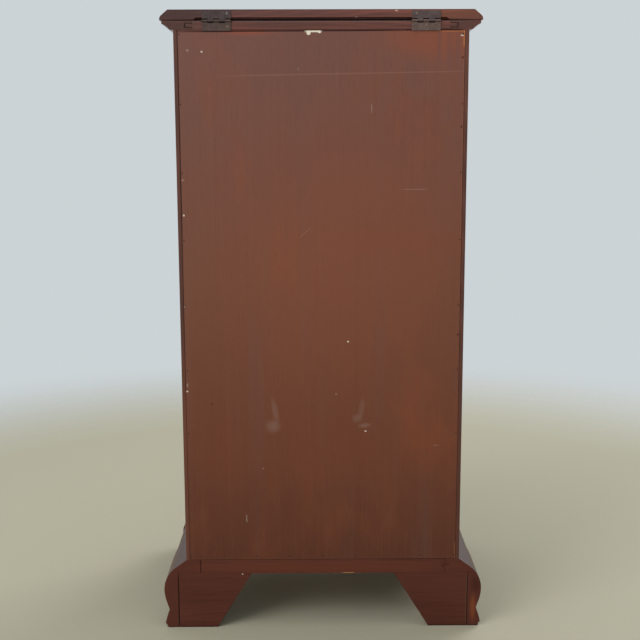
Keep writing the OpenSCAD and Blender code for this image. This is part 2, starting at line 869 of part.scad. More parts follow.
// The bottom board, widened by a margin where its grooves are cut
module pan(i, margin) {
  pan_half = drawer_half - box_t + groove;
  translate([-pan_half - margin, box_front - groove - margin, box_low_z(i) + pan_up - margin])
    cube([2 * (pan_half + margin), box_rear - box_front + groove + margin, pan_t + 2 * margin]);
}

module box_back(i, margin) {
  back_half = drawer_half - box_t + groove;
  back_z = box_low_z(i) + pan_up + pan_t + glue_gap;
  translate([-back_half - margin, box_rear - back_inset - margin, back_z - margin])
    cube([2 * (back_half + margin), box_t + 2 * margin, box_low_z(i) + box_h(i) - back_z + 2 * margin]);
}

module drawer_front(i) {
  color(mahogany)
    difference() {
      union() {
        translate([-drawer_half, y_front, front_low(i)]) cube([2 * drawer_half, front_t, front_h(i)]);
        difference() {
          translate([-drawer_half, y_front - bead_out, front_low(i)])
            cube([2 * drawer_half, bead_out + cut, front_h(i)]);
          translate([bead_w - drawer_half, y_front - bead_out - cut, front_low(i) + bead_w])
            cube([2 * (drawer_half - bead_w), bead_out + cut, front_h(i) - 2 * bead_w]);
        }
      }
      for (s = [-1, 1]) on_side(s) tails(i);
      pan(i, glue_gap);
      for (s = [-1, 1], t = [-1, 1])
        translate([s * pull_x + t * post_x, y_front - cut, pull_z(i)]) rotate([-90, 0, 0])
          cylinder(r = bolt_r + pivot_gap, h = front_t + 2 * cut, $fn = small_fn);
    }
}

module drawer_box(i) {
  color(pale_wood) {
    for (s = [-1, 1])
      on_side(s)
        difference() {
          union() {
            translate([drawer_half - box_t, box_front, box_low_z(i)])
              cube([box_t, box_rear - box_front, box_h(i)]);
            tails(i);
          }
          pan(i, glue_gap);
          box_back(i, glue_gap);
        }
    pan(i, 0);
    box_back(i, 0);
  }
}

// Outline of a quarter of a handle's plate, from its top to its end, by corners and the bows between
function plate_at(u, v) = [u * plate_l, v * plate_h];
plate_waist = plate_at(0.23, 0.63);
plate_lobe = plate_at(0.48, 0.9);
plate_tip = plate_at(0.82, 0.68);
plate_bow = plate_h / 8;
plate_quarter = concat(
  bow(plate_at(0, 1), plate_waist, -plate_bow * 0.6, 4),
  bow(plate_waist, plate_lobe, -plate_bow, 5),
  bow(plate_lobe, plate_tip, plate_bow, 5),
  bow(plate_tip, plate_at(1, 0), plate_bow * 0.8, 5)
);

module plate_outline() {
  polygon(concat(
    plate_quarter, [for (p = reversed(plate_quarter)) [p[0], -p[1]]],
    [for (p = plate_quarter) [-p[0], -p[1]]], reversed(flipped(plate_quarter))
  ));
}

// One handle's plate and posts, with the middle of its axis at the origin of X and Z
module handle_plate() {
  translate([0, y_front, 0]) rotate([90, 0, 0])
    linear_extrude(plate_t)
      difference() {
        plate_outline();
        for (s = [-1, 1]) translate([s * post_x, 0]) circle(r = bolt_r + glue_gap, $fn = small_fn);
      }
  for (s = [-1, 1]) on_side(s) translate([post_x, y_front, 0]) handle_post();
}

// A post with its ball, its collar and its bolt, and the nut behind the drawer front
module handle_post() {
  collar_y = -plate_t - glue_gap;
  difference() {
    union() {
      translate([0, -post_out, 0]) rotate([0, 0, -90]) sphere(r = post_r, $fn = ball_fn);
      translate([0, collar_y, 0]) rotate([90, 0, 0]) {
        cylinder(r = post_neck_r, h = post_out + collar_y, $fn = round_fn);
        cylinder(r = collar_r, h = collar_t, $fn = round_fn);
      }
      translate([0, collar_y - cut, 0]) rotate([-90, 0, 0])
        cylinder(r = bolt_r, h = cut - collar_y + front_t + glue_gap + nut_t + bolt_end, $fn = small_fn);
    }
    translate([bore_stop, -post_out, 0]) rotate([0, 90, 0])
      cylinder(r = bail_pin_r + pivot_gap, h = 2 * post_r, $fn = small_fn);
  }
  translate([0, front_t + glue_gap, 0]) rotate([-90, 0, 0])
    difference() {
      cylinder(r = 2 * bolt_r, h = nut_t, $fn = 6);
      translate([0, 0, -cut]) cylinder(r = bolt_r + pivot_gap, h = nut_t + 2 * cut, $fn = small_fn);
    }
}

module drawer_plates(i) {
  color(brass)
    for (s = [-1, 1]) translate([s * pull_x, 0, pull_z(i)]) handle_plate();
}

// A bail: pivot ends, straight arms, bent corners and a long shallow bow, with small beads between
module bail(i, s) {
  end_x = post_x + bore_stop + bore_gap;
  bow_z = -bail_arm - bail_bend_r * sin(bail_turn);
  color(brass)
    translate([s * pull_x, y_front - post_out, pull_z(i)]) {
      for (t = [-1, 1])
        on_side(t) {
          translate([end_x, 0, 0]) rotate([0, 90, 0])
            cylinder(r = bail_pin_r, h = bail_x - end_x, $fn = small_fn);
          translate([bail_x, 0, 0]) rotate([90, 0, 0]) sphere(r = bail_r + 2 * bead_step, $fn = round_fn);
          translate([bail_x, 0, -bail_arm]) cylinder(r = bail_r, h = bail_arm, $fn = round_fn);
          translate([bail_x, 0, -bail_arm]) rotate([90, 0, 0])
            sphere(r = bail_r + bead_step, $fn = round_fn);
          translate([bail_x - bail_bend_r, 0, -bail_arm]) rotate([90, 0, 0]) rotate(-bail_turn)
            rotate_extrude(angle = bail_turn, $fn = 3 * round_fn)
              translate([bail_bend_r, 0]) circle(r = bail_r, $fn = round_fn);
          translate([bow_half, 0, bow_z]) rotate([90, 90, 0])
            sphere(r = bail_r + 3 * bead_step, $fn = round_fn);
        }
      translate([0, 0, bow_z + bow_r * cos(90 - bail_turn)]) rotate([90, 0, 0]) rotate(bail_turn - 180)
        rotate_extrude(angle = 180 - 2 * bail_turn, $fn = 11 * round_fn)
          translate([bow_r, 0]) circle(r = bail_r, $fn = round_fn);
    }
}

side_panel(-1);  // side_panel_left
side_panel(1);  // side_panel_right
back_panel();
back_panel_nails();
top_frame_side(-1);  // top_frame_side_left
top_frame_side(1);  // top_frame_side_right
top_frame_rear_rail();
top_frame_front_rail();
compartment_floor();
compartment_front();
front_rails();
drawer_runners();
case_bottom();
base_frame_side(-1);  // base_frame_side_left
base_frame_side(1);  // base_frame_side_right
base_frame_rear_rail();
base_frame_front_rail();
rear_foot_side(-1);  // rear_foot_side_left
rear_foot_side(1);  // rear_foot_side_right
rear_foot_back(-1);  // rear_foot_back_left
rear_foot_back(1);  // rear_foot_back_right
front_foot_side(-1);  // front_foot_side_left
front_foot_side(1);  // front_foot_side_right
front_foot_front(-1);  // front_foot_front_left
front_foot_front(1);  // front_foot_front_right
foot_glue_blocks();
case_hinge_leaves();
hinge_pins();
case_screws();
lid_stay_bracket();
lid();
lid_hinge_leaves();
lid_screws();
lid_stay_guide();
lid_stay_arm();
for (i = [1:drawers]) {
  drawer_front(i);
  drawer_box(i);
  drawer_plates(i);
  bail(i, -1);
  bail(i, 1);
}
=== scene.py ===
"""Looks of a tall chest of drawers with a lifting lid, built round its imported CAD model."""

import logging
import math
from dataclasses import dataclass, field
from enum import Enum
from typing import Sequence, Union

import bpy
from mathutils import Matrix, Vector


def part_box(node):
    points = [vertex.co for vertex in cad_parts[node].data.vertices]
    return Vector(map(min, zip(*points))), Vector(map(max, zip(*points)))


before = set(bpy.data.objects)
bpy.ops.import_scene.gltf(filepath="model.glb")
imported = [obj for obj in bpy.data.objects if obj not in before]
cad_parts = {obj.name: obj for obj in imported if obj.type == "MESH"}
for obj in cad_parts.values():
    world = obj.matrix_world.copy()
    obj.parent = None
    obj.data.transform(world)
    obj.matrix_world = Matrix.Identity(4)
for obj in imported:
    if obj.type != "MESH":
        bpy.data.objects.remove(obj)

LOG = logging.getLogger("chest")
MM = 0.001
DRAWERS = 5
RECESS = 237.0 * MM
METAL_ARRIS = 0.2 * MM
SRGB_KNEE, SRGB_SLOPE, SRGB_OFFSET, SRGB_POWER = 0.04045, 12.92, 0.055, 2.4


def linear(code: str) -> tuple[float, float, float, float]:
    """A colour written as #rrggbb, as the linear values that shaders use.

    Args:
        code: The colour as it looks on a screen.

    Returns:
        Red, green, blue and an alpha of 1.
    """
    parts = [int(code[i:i + 2], 16) / 255 for i in (1, 3, 5)]
    bent = [
        c / SRGB_SLOPE if c <= SRGB_KNEE else ((c + SRGB_OFFSET) / (1 + SRGB_OFFSET)) ** SRGB_POWER
        for c in parts
    ]
    return bent[0], bent[1], bent[2], 1.0


class Field:
    """A socket's value in Python: operators on numbers add Math nodes, and on points Vector Math nodes."""

    def __init__(self, shader: "Shader", socket: bpy.types.NodeSocket) -> None:
        """Keeps the shader that nodes are added to and the socket that gives the value."""
        self.shader = shader
        self.socket = socket

    def _join(self, operation: str, first: "Part", second: "Part" = 0.0) -> "Field":
        """Adds the Math or Vector Math node for one operation.

        Args:
            operation: Blender's name for it.
            first: The value on its left.
            second: The value on its right, where it has one.

        Returns:
            The result.
        """
        kinds = {f.socket.type for f in (first, second) if isinstance(f, Field)}
        kind = "ShaderNodeVectorMath" if "VECTOR" in kinds else "ShaderNodeMath"
        return self.shader.node(kind, {"operation": operation}, {0: first, 1: second})

    def __add__(self, other: "Part") -> "Field":
        """The sum."""
        return self._join("ADD", self, other)

    __radd__ = __add__

    def __sub__(self, other: "Part") -> "Field":
        """The difference."""
        return self._join("SUBTRACT", self, other)

    def __rsub__(self, other: "Part") -> "Field":
        """The difference, with this value taken away."""
        return self._join("SUBTRACT", other, self)

    def __mul__(self, other: "Part") -> "Field":
        """The product."""
        return self._join("MULTIPLY", self, other)

    __rmul__ = __mul__

    def __truediv__(self, other: "Part") -> "Field":
        """The quotient."""
        return self._join("DIVIDE", self, other)

    def __rtruediv__(self, other: "Part") -> "Field":
        """The quotient, with this value below."""
        return self._join("DIVIDE", other, self)

    def __abs__(self) -> "Field":
        """The value without its sign."""
        return self._join("ABSOLUTE", self)

    def sine(self) -> "Field":
        """The sine of a number in radians."""
        return self._join("SINE", self)

    def root(self) -> "Field":
        """The square root of a number."""
        return self._join("SQRT", self)

    def least(self, other: "Part") -> "Field":
        """The smaller of two values."""
        return self._join("MINIMUM", self, other)

    def most(self, other: "Part") -> "Field":
        """The larger of two values."""
        return self._join("MAXIMUM", self, other)

    def clip(self) -> "Field":
        """The number held between 0 and 1."""
        settings = {"operation": "ADD", "use_clamp": True}
        return self.shader.node("ShaderNodeMath", settings, {0: self, 1: 0.0})

    def ramp(self, low: float, high: float) -> "Field":
        """A smooth step.

        Args:
            low: The value that gives 0.
            high: The value that gives 1, which may be the smaller one.

        Returns:
            A number from 0 to 1.
        """
        settings = {"interpolation_type": "SMOOTHSTEP"}
        if low <= high:
            return self.shader.node("ShaderNodeMapRange", settings, {0: self, 1: low, 2: high})
        return 1.0 - self.shader.node("ShaderNodeMapRange", settings, {0: self, 1: high, 2: low})


Part = Union[Field, float, Sequence[float]]


class Shader:
    """One material's nodes, built up as Python expressions."""

    def __init__(self, name: str) -> None:
        """Makes an empty material with a Principled shader.

        Args:
            name: The material's name.
        """
        self.material = bpy.data.materials.new(name)
        self.material.use_nodes = True
        self.tree = self.material.node_tree
        self.tree.nodes.clear()
        self.surface = self.tree.nodes.new("ShaderNodeBsdfPrincipled")
        self.output = self.tree.nodes.new("ShaderNodeOutputMaterial")
        self.tree.links.new(self.surface.outputs[0], self.output.inputs["Surface"])

    def node(self, kind: str, settings: dict, inputs: dict, output: Union[int, str] = 0) -> Field:
        """Adds any node.

        Args:
            kind: The node's type.
            settings: What is set on the node first; "stops" are a colour ramp's places and colours.
            inputs: Values or links, by the socket's number or name.
            output: The output that is wanted.

        Returns:
            That output's value.
        """
        made = self.tree.nodes.new(kind)
        for key, value in settings.items():
            if key == "stops":
                self._stops(made.color_ramp, value)
            else:
                setattr(made, key, value)
        for key, value in inputs.items():
            self.feed(made.inputs[key], value)
        return Field(self, made.outputs[output])

    @staticmethod
    def _stops(ramp: bpy.types.ColorRamp, stops: Sequence[tuple[float, str]]) -> None:
        """Sets a colour ramp's stops.

        Args:
            ramp: The colour ramp.
            stops: A place from 0 to 1 and a colour for each stop.
        """
        while len(ramp.elements) < len(stops):
            ramp.elements.new(0.5)
        for element, (place, code) in zip(ramp.elements, stops):
            element.position = place
            element.color = linear(code)

    def feed(self, socket: bpy.types.NodeSocket, value: Union[Part, str]) -> None:
        """Links a value to a socket, or sets it there.

        Args:
            socket: The socket.
            value: A value to link, or a number, point or colour to set.
        """
        if isinstance(value, Field):
            self.tree.links.new(value.socket, socket)
        elif isinstance(value, str):
            socket.default_value = linear(value)
        elif isinstance(value, (int, float)) and hasattr(socket.default_value, "__len__"):
            socket.default_value = [value] * len(socket.default_value)
        else:
            socket.default_value = value

    def point(self) -> Field:
        """The place on the piece, in metres."""
        return self.node("ShaderNodeTexCoord", {}, {}, "Object")

    def facing(self) -> Field:
        """The direction that the surface faces, on the piece itself."""
        return self.node("ShaderNodeTexCoord", {}, {}, "Normal")

    def split(self, point: Field) -> tuple[Field, Field, Field]:
        """The three numbers of a point."""
        made = self.node("ShaderNodeSeparateXYZ", {}, {0: point})
        return tuple(Field(self, out) for out in made.socket.node.outputs)

    def join(self, x: Part, y: Part, z: Part) -> Field:
        """A point of three numbers."""
        return self.node("ShaderNodeCombineXYZ", {}, {0: x, 1: y, 2: z})

    def gradient(self, share: Field, *stops: tuple[float, str]) -> Field:
        """A colour from a colour ramp with the given stops."""
        return self.node("ShaderNodeValToRGB", {"stops": stops}, {0: share})

    def mix(self, share: Part, first: Union[Part, str], second: Union[Part, str], way: str = "MIX") -> Field:
        """A colour between two.

        Args:
            share: 0 for the first and 1 for the second.
            first: A colour.
            second: Another colour.
            way: Blender's name for the way that they mix.

        Returns:
            The mixed colour.
        """
        settings = {"data_type": "RGBA", "blend_type": way}
        return self.node("ShaderNodeMix", settings, {0: share, 6: first, 7: second}, 2)

    def bump(self, height: Part, distance: float) -> Field:
        """The surface's direction after relief.

        Args:
            height: The relief, from 0 to 1.
            distance: How many metres a height of 1 is.

        Returns:
            The direction for a shader's Normal.
        """
        return self.node("ShaderNodeBump", {}, {"Strength": 1.0, "Distance": distance, "Height": height})

    def finish(self, **sockets: Union[Part, str]) -> bpy.types.Material:
        """Feeds the Principled shader.

        Args:
            sockets: Its sockets' values, with underscores for the spaces in their names.

        Returns:
            The finished material.
        """
        for name, value in sockets.items():
            self.feed(self.surface.inputs[name.replace("_", " ")], value)
        return self.material


class Axis(Enum):
    """A direction of the chest's frame."""

    X = 0
    Y = 1
    Z = 2


class Outline(Enum):
    """The outline of a mark on a surface."""

    ROUND = 0
    STRAIGHT = 1


@dataclass(frozen=True)
class Mark:
    """A small mark on the back of the chest.

    Its place is in metres across and above the floor, and its half sizes are in millimetres.
    """

    x: float
    z: float
    wide: float
    tall: float
    tone: str
    strength: float = 1.0
    soft: float = 0.25
    ragged: float = 0.3
    lean: float = 0.0
    outline: Outline = Outline.ROUND

    def mask(self, x: Field, z: Field, crumble: Field) -> Field:
        """Where the mark lies.

        Args:
            x: Place across the back.
            z: Height above the floor.
            crumble: Noise that breaks up its rim.

        Returns:
            A number from 0 to the mark's strength.
        """
        cosine, sine = math.cos(math.radians(self.lean)), math.sin(math.radians(self.lean))
        dx, dz = x - self.x, z - self.z
        u = abs(dx * cosine + dz * sine) / (self.wide * MM)
        v = abs(dz * cosine - dx * sine) / (self.tall * MM)
        far = (u * u + v * v).root() if self.outline is Outline.ROUND else u.most(v)
        rim = far + (crumble - 0.5) * self.ragged * 2.0
        return rim.ramp(1.0 + self.soft, 1.0 - self.soft) * self.strength


Marks = tuple[Mark, ...]


def seam(x0: float, z0: float, x1: float, z1: float, width: float, tone: str, strength: float) -> Mark:
    """A thin straight line between two places, such as a joint between boards.

    Args:
        x0: Where it starts across the back, in metres.
        z0: Where it starts above the floor.
        x1: Where it ends across the back.
        z1: Where it ends above the floor.
        width: Its width in millimetres.
        tone: Its colour.
        strength: How strongly it shows.

    Returns:
        The mark.
    """
    length = math.hypot(x1 - x0, z1 - z0) / MM
    lean = math.degrees(math.atan2(z1 - z0, x1 - x0))
    middle_x, middle_z = (x0 + x1) / 2, (z0 + z1) / 2
    return Mark(middle_x, middle_z, length / 2, width / 2, tone, strength, 0.3, 0.25, lean, Outline.STRAIGHT)


@dataclass(frozen=True)
class Board:
    """How one board was cut from the log, and what happened to it.

    A board with a cross direction runs that way where it is less than cross_beyond from the middle. A facing is
    another wood in front of facing_from.
    """

    node: str
    grain: Axis
    seed: int
    cross: Union[Axis, None] = None
    cross_beyond: float = 0.0
    marks: Marks = ()
    facing: Union["Wood", None] = None
    facing_from: float = 0.0


@dataclass(frozen=True)
class Layer:
    """Smooth noise: its features in each metre, its stretch along the grain and its finer layers."""

    scale: float
    along: float = 1.0
    detail: float = 2.0
    rough: float = 0.5

    def at(self, s: Shader, point: Field, more: float = 0.0) -> Field:
        """Reads the noise.

        Args:
            s: The shader.
            point: Where it is read, with the third number along the grain.
            more: More features in each metre.

        Returns:
            A number from 0 to 1, about 0.5.
        """
        vector = point * (1.0, 1.0, self.along)
        inputs = {"Vector": vector, "Scale": self.scale + more, "Detail": self.detail, "Roughness": self.rough}
        return s.node("ShaderNodeTexNoise", {}, inputs)


WAVES = Layer(9.0, 0.10)
RIBBONS = Layer(34.0, 0.05, 3.0, 0.55)
STREAKS = Layer(170.0, 0.018, 4.0, 0.65)
FIBRES = Layer(680.0, 0.012, 3.0, 0.6)
PATCHES = Layer(7.0, 0.30, 3.0, 0.55)
PORES = Layer(1500.0, 0.022, 1.0)
VENEER_BANDS = Layer(16.0, 0.06, 3.0, 0.6)
VENEER_STREAKS = Layer(110.0, 0.016, 4.0, 0.65)
VENEER_FIBRES = Layer(560.0, 0.012, 3.0, 0.6)
VENEER_PATCHES = Layer(5.0, 0.45, 4.0, 0.6)
VENEER_BLOTS = Layer(34.0, 1.0, 3.0, 0.6)
CLOUDS = Layer(60.0, 1.0, 4.0, 0.6)
SPOTS = Layer(420.0, 1.0, 3.0, 0.6)
BRUSHED = Layer(900.0)
GRIT = Layer(70.0, 1.0, 3.0, 0.6)


@dataclass(frozen=True, kw_only=True)
class Timber:
    """What solid boards and the back's veneer share: pores, worn edges and marks."""

    dark: str
    light: str
    worn: str
    streak: float = 0.40
    fibre: float = 0.25
    pore: float = 0.40
    open_pores: tuple[float, float] = (0.60, 0.70)
    pore_rough: float = 0.2
    pore_depth: float = 0.7
    edge_wear: float = 0.30
    edge_reach: tuple[float, float] = (2.2 * MM, 0.4 * MM)
    edge_ragged: float = 3.0 * MM
    edge_patches: tuple[float, float] = (0.42, 0.62)
    rough: float = 0.30
    shine: float = 0.40
    relief: float = 0.1 * MM
    mark_rough: float = 0.2
    looks_back: tuple[float, float] = (0.4, 0.7)
    seed_step: tuple[float, float, float] = (0.31, 0.17, 0.53)

    def _log(self, s: Shader, board: Board, place: Sequence[Field]) -> Field:
        """The place in the log.

        Args:
            s: The board's shader.
            board: The board.
            place: The place on the chest.

        Returns:
            Two numbers across the grain and one along it.
        """
        x, y, z = place

        def turned(axis: Axis) -> Field:
            """The frame's numbers with the grain's own last."""
            a, b, c = {Axis.X: (y, z, x), Axis.Y: (x, z, y), Axis.Z: (x, y, z)}[axis]
            return s.join(a, b, c)

        log = turned(board.grain)
        if board.cross is not None:
            beyond = abs(x).ramp(board.cross_beyond - MM, board.cross_beyond + MM)
            inputs = {0: beyond, 4: turned(board.cross), 5: log}
            log = s.node("ShaderNodeMix", {"data_type": "VECTOR"}, inputs, 1)
        return log + tuple(step * board.seed for step in self.seed_step)

    def _worn(
        self, s: Shader, board: Board, place: Sequence[Field], patches: Field, streaks: Field, colour: Field
    ) -> Field:
        """Wears the edges of the board's outline.

        Args:
            s: The board's shader.
            board: The board.
            place: The place on the chest.
            patches: Broad noise that says where it is worn.
            streaks: Fine noise that makes the wear ragged.
            colour: The colour before wear.

        Returns:
            The colour after it.
        """
        low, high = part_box(board.node)
        near = [(place[i] - low[i]).least(high[i] - place[i]) for i in range(3)]
        edge = near[0].least(near[1]).most(near[0].most(near[1]).least(near[2]))
        rubbed = (edge + (streaks - 0.5) * self.edge_ragged).ramp(*self.edge_reach)
        return s.mix(rubbed * patches.ramp(*self.edge_patches) * self.edge_wear, colour, self.worn)

    def _marked(
        self, s: Shader, board: Board, x: Field, z: Field, colour: Field, rough: Field
    ) -> tuple[Field, Field]:
        """Lays the board's marks over its colour and roughness.

        Args:
            s: The board's shader.
            board: The board.
            x: Place across the back.
            z: Height above the floor.
            colour: The colour under the marks.
            rough: The roughness under them.

        Returns:
            The colour and the roughness with marks.
        """
        if not board.marks:
            return colour, rough
        crumble = SPOTS.at(s, s.join(x, 0.0, z))
        back = s.split(s.facing())[1].ramp(*self.looks_back)
        for mark in board.marks:
            here = mark.mask(x, z, crumble) * back
            colour = s.mix(here, colour, mark.tone)
            rough = rough + here * self.mark_rough
        return colour, rough


@dataclass(frozen=True, kw_only=True)
class Wood(Timber):
    """Solid timber with rings, streaks and pores: polished where it is meant to be seen, dull at the back."""

    mid: str
    rear: tuple[str, str]
    gap: float = 9.0 * MM
    ring: float = 0.16
    ring_wave: float = 50.0 * MM
    ring_ragged: float = 2.0 * MM
    heart: tuple[float, float, float] = (0.11, 0.16, 0.05)
    taper: tuple[float, float] = (0.035, 0.13)
    ribbon: float = 0.30
    mottle: float = 0.40
    end_grain: tuple[float, float] = (0.55, 0.85)
    end_shade: float = 0.30
    end_calm: float = 0.75
    end_rough: float = 0.10
    rear_rough: float = 0.62
    coat: float = 0.35
    coat_rough: float = 0.12
    # Painted shade on faces that look upwards: where it fades in, and how strong it is.
    upward: tuple[float, float] = (0.25, 0.65)
    top_painted_shade: float = 0.0

    def dress(self, board: Board) -> bpy.types.Material:
        """Makes the material of one board.

        Args:
            board: The board's grain, seed and marks.

        Returns:
            The material.
        """
        s = Shader("wood_" + board.node)
        x, y, z = s.split(s.point())
        log = self._log(s, board, (x, y, z))
        ribbons, streaks, fibres, patches = (layer.at(s, log) for layer in (RIBBONS, STREAKS, FIBRES, PATCHES))
        rings = self._rings(s, board, log, streaks)
        facing = s.split(s.facing())
        along = facing[board.grain.value]
        end = (along * along).ramp(*self.end_grain)
        back = facing[1].ramp(*self.looks_back)
        figure = (
            (rings - 0.5) * self.ring * ribbons.ramp(0.35, 0.65) + (ribbons - 0.5) * self.ribbon * 2.0
            + (streaks - 0.5) * self.streak * 2.0 + (patches - 0.5) * self.mottle * 2.0
        )
        tone = 0.5 + figure * (1.0 - end * self.end_calm) + (fibres - 0.5) * self.fibre * 2.0
        colour = self.stain(s, tone)
        if board.facing is not None:
            faced = y.ramp(board.facing_from + MM, board.facing_from - MM)
            colour = s.mix(faced, colour, board.facing.stain(s, tone))
        pores = PORES.at(s, log).ramp(*self.open_pores) * self.pore
        colour = s.mix(pores, colour, self.dark, "MULTIPLY")
        colour = s.mix(end * self.end_shade, colour, self.dark)
        # Painted shade: faces that look upwards are darkened towards the dark stain.
        if self.top_painted_shade > 0:
            colour = s.mix(facing[2].ramp(*self.upward) * self.top_painted_shade, colour, self.dark)
        colour = s.mix(back, colour, s.mix(tone.ramp(0.1, 0.9), *self.rear))
        colour = self._worn(s, board, (x, y, z), patches, streaks, colour)
        rough = self.rough + back * (self.rear_rough - self.rough) + pores * self.pore_rough
        colour, rough = self._marked(s, board, x, z, colour, rough + (patches - 0.5) * 0.12)
        height = 1.0 - pores * self.pore_depth - (streaks - 0.5) * 0.5 - end * fibres * 0.6
        return s.finish(
            Base_Color=colour, Roughness=rough + end * self.end_rough,
            Coat_Weight=(1.0 - back) * (1.0 - end) * self.coat, Coat_Roughness=self.coat_rough,
            Specular_IOR_Level=self.shine, Normal=s.bump(height, self.relief),
        )

    def stain(self, s: Shader, tone: Field) -> Field:
        """The stained colour of the grain, from 0 for its dark parts to 1 for its light ones."""
        return s.gradient(tone, (0.12, self.dark), (0.5, self.mid), (0.88, self.light))

    def _rings(self, s: Shader, board: Board, log: Field, streaks: Field) -> Field:
        """Growth rings round a heart that lies beside the board.

        Args:
            s: The board's shader.
            board: The board, whose seed says where the heart lies.
            log: The place in the log.
            streaks: Fine noise that makes the rings ragged.

        Returns:
            A number from 0 to 1 that rises and falls with each ring.
        """
        seed, (step_a, step_b, _), (wander, depth, vary) = board.seed, self.seed_step, self.heart
        a, b, c = s.split(log)
        waves = WAVES.at(s, log, seed % 3)
        heart_a = step_a * seed + wander * math.sin(2.4 * seed + 1.0)
        heart_b = step_b * seed + depth + vary * math.sin(1.7 * seed)
        da = a - heart_a + c * self.taper[0] * math.cos(1.3 * seed)
        db = b - heart_b + c * self.taper[1] * math.cos(2.1 * seed)
        radius = (da * da + db * db).root() + (waves - 0.5) * self.ring_wave
        radius = radius + (streaks - 0.5) * self.ring_ragged
        wave = (radius * (2.0 * math.pi / self.gap)).sine() * 0.5 + 0.5
        return wave * wave


@dataclass(frozen=True, kw_only=True)
class BackVeneer(Timber):
    """The stained back: faint upright grain, fading from a lighter, greyer top, partly dust and partly painted
    sheen, to a warm dark foot.
    """

    top: str = "#744c41"
    upper: str = "#754936"
    lower: str = "#703f2a"
    foot: str = "#5e3322"
    warm: str = "#8a4826"
    cool: str = "#674d45"

    def dress(self, board: Board) -> bpy.types.Material:
        """Makes the material of the back.

        Args:
            board: The board's grain, seed and marks.

        Returns:
            The material.
        """
        s = Shader("veneer_" + board.node)
        x, y, z = s.split(s.point())
        low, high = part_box(board.node)
        log = self._log(s, board, (x, y, z))
        layers = (VENEER_BANDS, VENEER_STREAKS, VENEER_FIBRES, VENEER_PATCHES, VENEER_BLOTS)
        bands, streaks, fibres, patches, blots = (layer.at(s, log) for layer in layers)
        # The lighter, greyer top is partly dust and partly painted sheen.
        rise = (z - low[2]) / (high[2] - low[2]) + (patches - 0.5) * 0.10
        colour = s.gradient(rise, (0.02, self.foot), (0.26, self.lower), (0.56, self.upper), (0.97, self.top))
        colour = s.mix((bands - 0.5).ramp(0.02, 0.20) * 0.25, colour, self.cool)
        colour = s.mix((patches - 0.5).ramp(0.02, 0.22) * 0.40, colour, self.warm)
        shade = 0.5 + (streaks - 0.5) * self.streak + (fibres - 0.5) * self.fibre + (blots - 0.5) * 0.12
        colour = s.mix(shade.ramp(0.5, 0.9) * 0.5, colour, self.light)
        colour = s.mix(shade.ramp(0.5, 0.1) * 0.45, colour, self.dark)
        pores = PORES.at(s, log).ramp(*self.open_pores) * self.pore
        colour = s.mix(pores, colour, self.dark, "MULTIPLY")
        colour = self._worn(s, board, (x, y, z), patches, streaks, colour)
        rough = self.rough + pores * self.pore_rough + (patches - 0.5) * 0.2 + (bands - 0.5) * 0.12
        colour, rough = self._marked(s, board, x, z, colour, rough)
        height = 1.0 - pores * self.pore_depth - (streaks - 0.5) * 0.6
        return s.finish(
            Base_Color=colour, Roughness=rough, Specular_IOR_Level=self.shine,
            Normal=s.bump(height, self.relief),
        )


@dataclass(frozen=True)
class Metal:
    """Old cast or rolled metal, bright where hands rub it and dull in its hollows."""

    bright: str
    dull: str
    grime: str
    tarnish: float = 0.5
    rough: float = 0.30
    shine: float = 1.0
    hollow: float = 3.0 * MM
    # Painted shade that darkens pieces towards the left (+x), and where it fades in.
    left_painted_shade: float = 0.0
    left: tuple[float, float] = (-0.1, 0.1)
    relief: float = 0.04 * MM

    def dress(self, name: str, marks: Marks = ()) -> bpy.types.Material:
        """Makes the material of one piece of metal.

        Args:
            name: The piece's name.
            marks: Painted highlights, small pale spots on screws and hinge leaves.

        Returns:
            The material.
        """
        s = Shader("metal_" + name)
        point = s.point()
        clouds = CLOUDS.at(s, point)
        spots = SPOTS.at(s, point)
        brushed = BRUSHED.at(s, point * (1.0, 6.0, 6.0))
        settings = {"samples": 6, "only_local": True}
        open_sky = s.node("ShaderNodeAmbientOcclusion", settings, {"Distance": self.hollow}, "AO")
        dirt = (1.0 - open_sky).ramp(0.15, 0.75)
        dulled = ((clouds - 0.5) * 1.6 + (spots - 0.5) * 0.8 + self.tarnish).clip()
        colour = s.mix(dulled, self.bright, self.dull)
        colour = s.mix(dirt * 0.85, colour, self.grime)
        x, _, z = s.split(point)
        # Painted shade: pieces towards the left (+x) are darkened towards the grime colour.
        if self.left_painted_shade > 0:
            colour = s.mix(x.ramp(*self.left) * self.left_painted_shade, colour, self.grime)
        colour = s.mix(spots.ramp(0.66, 0.76) * 0.6, colour, self.grime)
        # Painted highlights: small pale spots laid over the colour.
        for mark in marks:
            colour = s.mix(mark.mask(x, z, spots), colour, mark.tone)
        rough = self.rough + dulled * 0.22 + dirt * 0.25 + (brushed - 0.5) * 0.08
        return s.finish(
            Base_Color=colour, Roughness=rough, Metallic=self.shine * (1.0 - dirt * 0.6),
            Normal=s.bump(spots + brushed * 0.3, self.relief),
        )


MAHOGANY = Wood(dark="#41190d", mid="#6f3420", light="#945434", worn="#9c6443", rear=("#3a1f18", "#6b4034"))
LID_WOOD = Wood(
    dark="#41190d", mid="#6d3320", light="#8f5033", worn="#97604a", rear=("#412826", "#7c4438"),
    streak=0.6, ribbon=0.4,
)
RAIL_WOOD = Wood(
    dark="#3f190e", mid="#69311f", light="#894c31", worn="#8a5841", rear=("#3f231d", "#733f33"),
    streak=0.6, ribbon=0.4, end_shade=0.0,
)
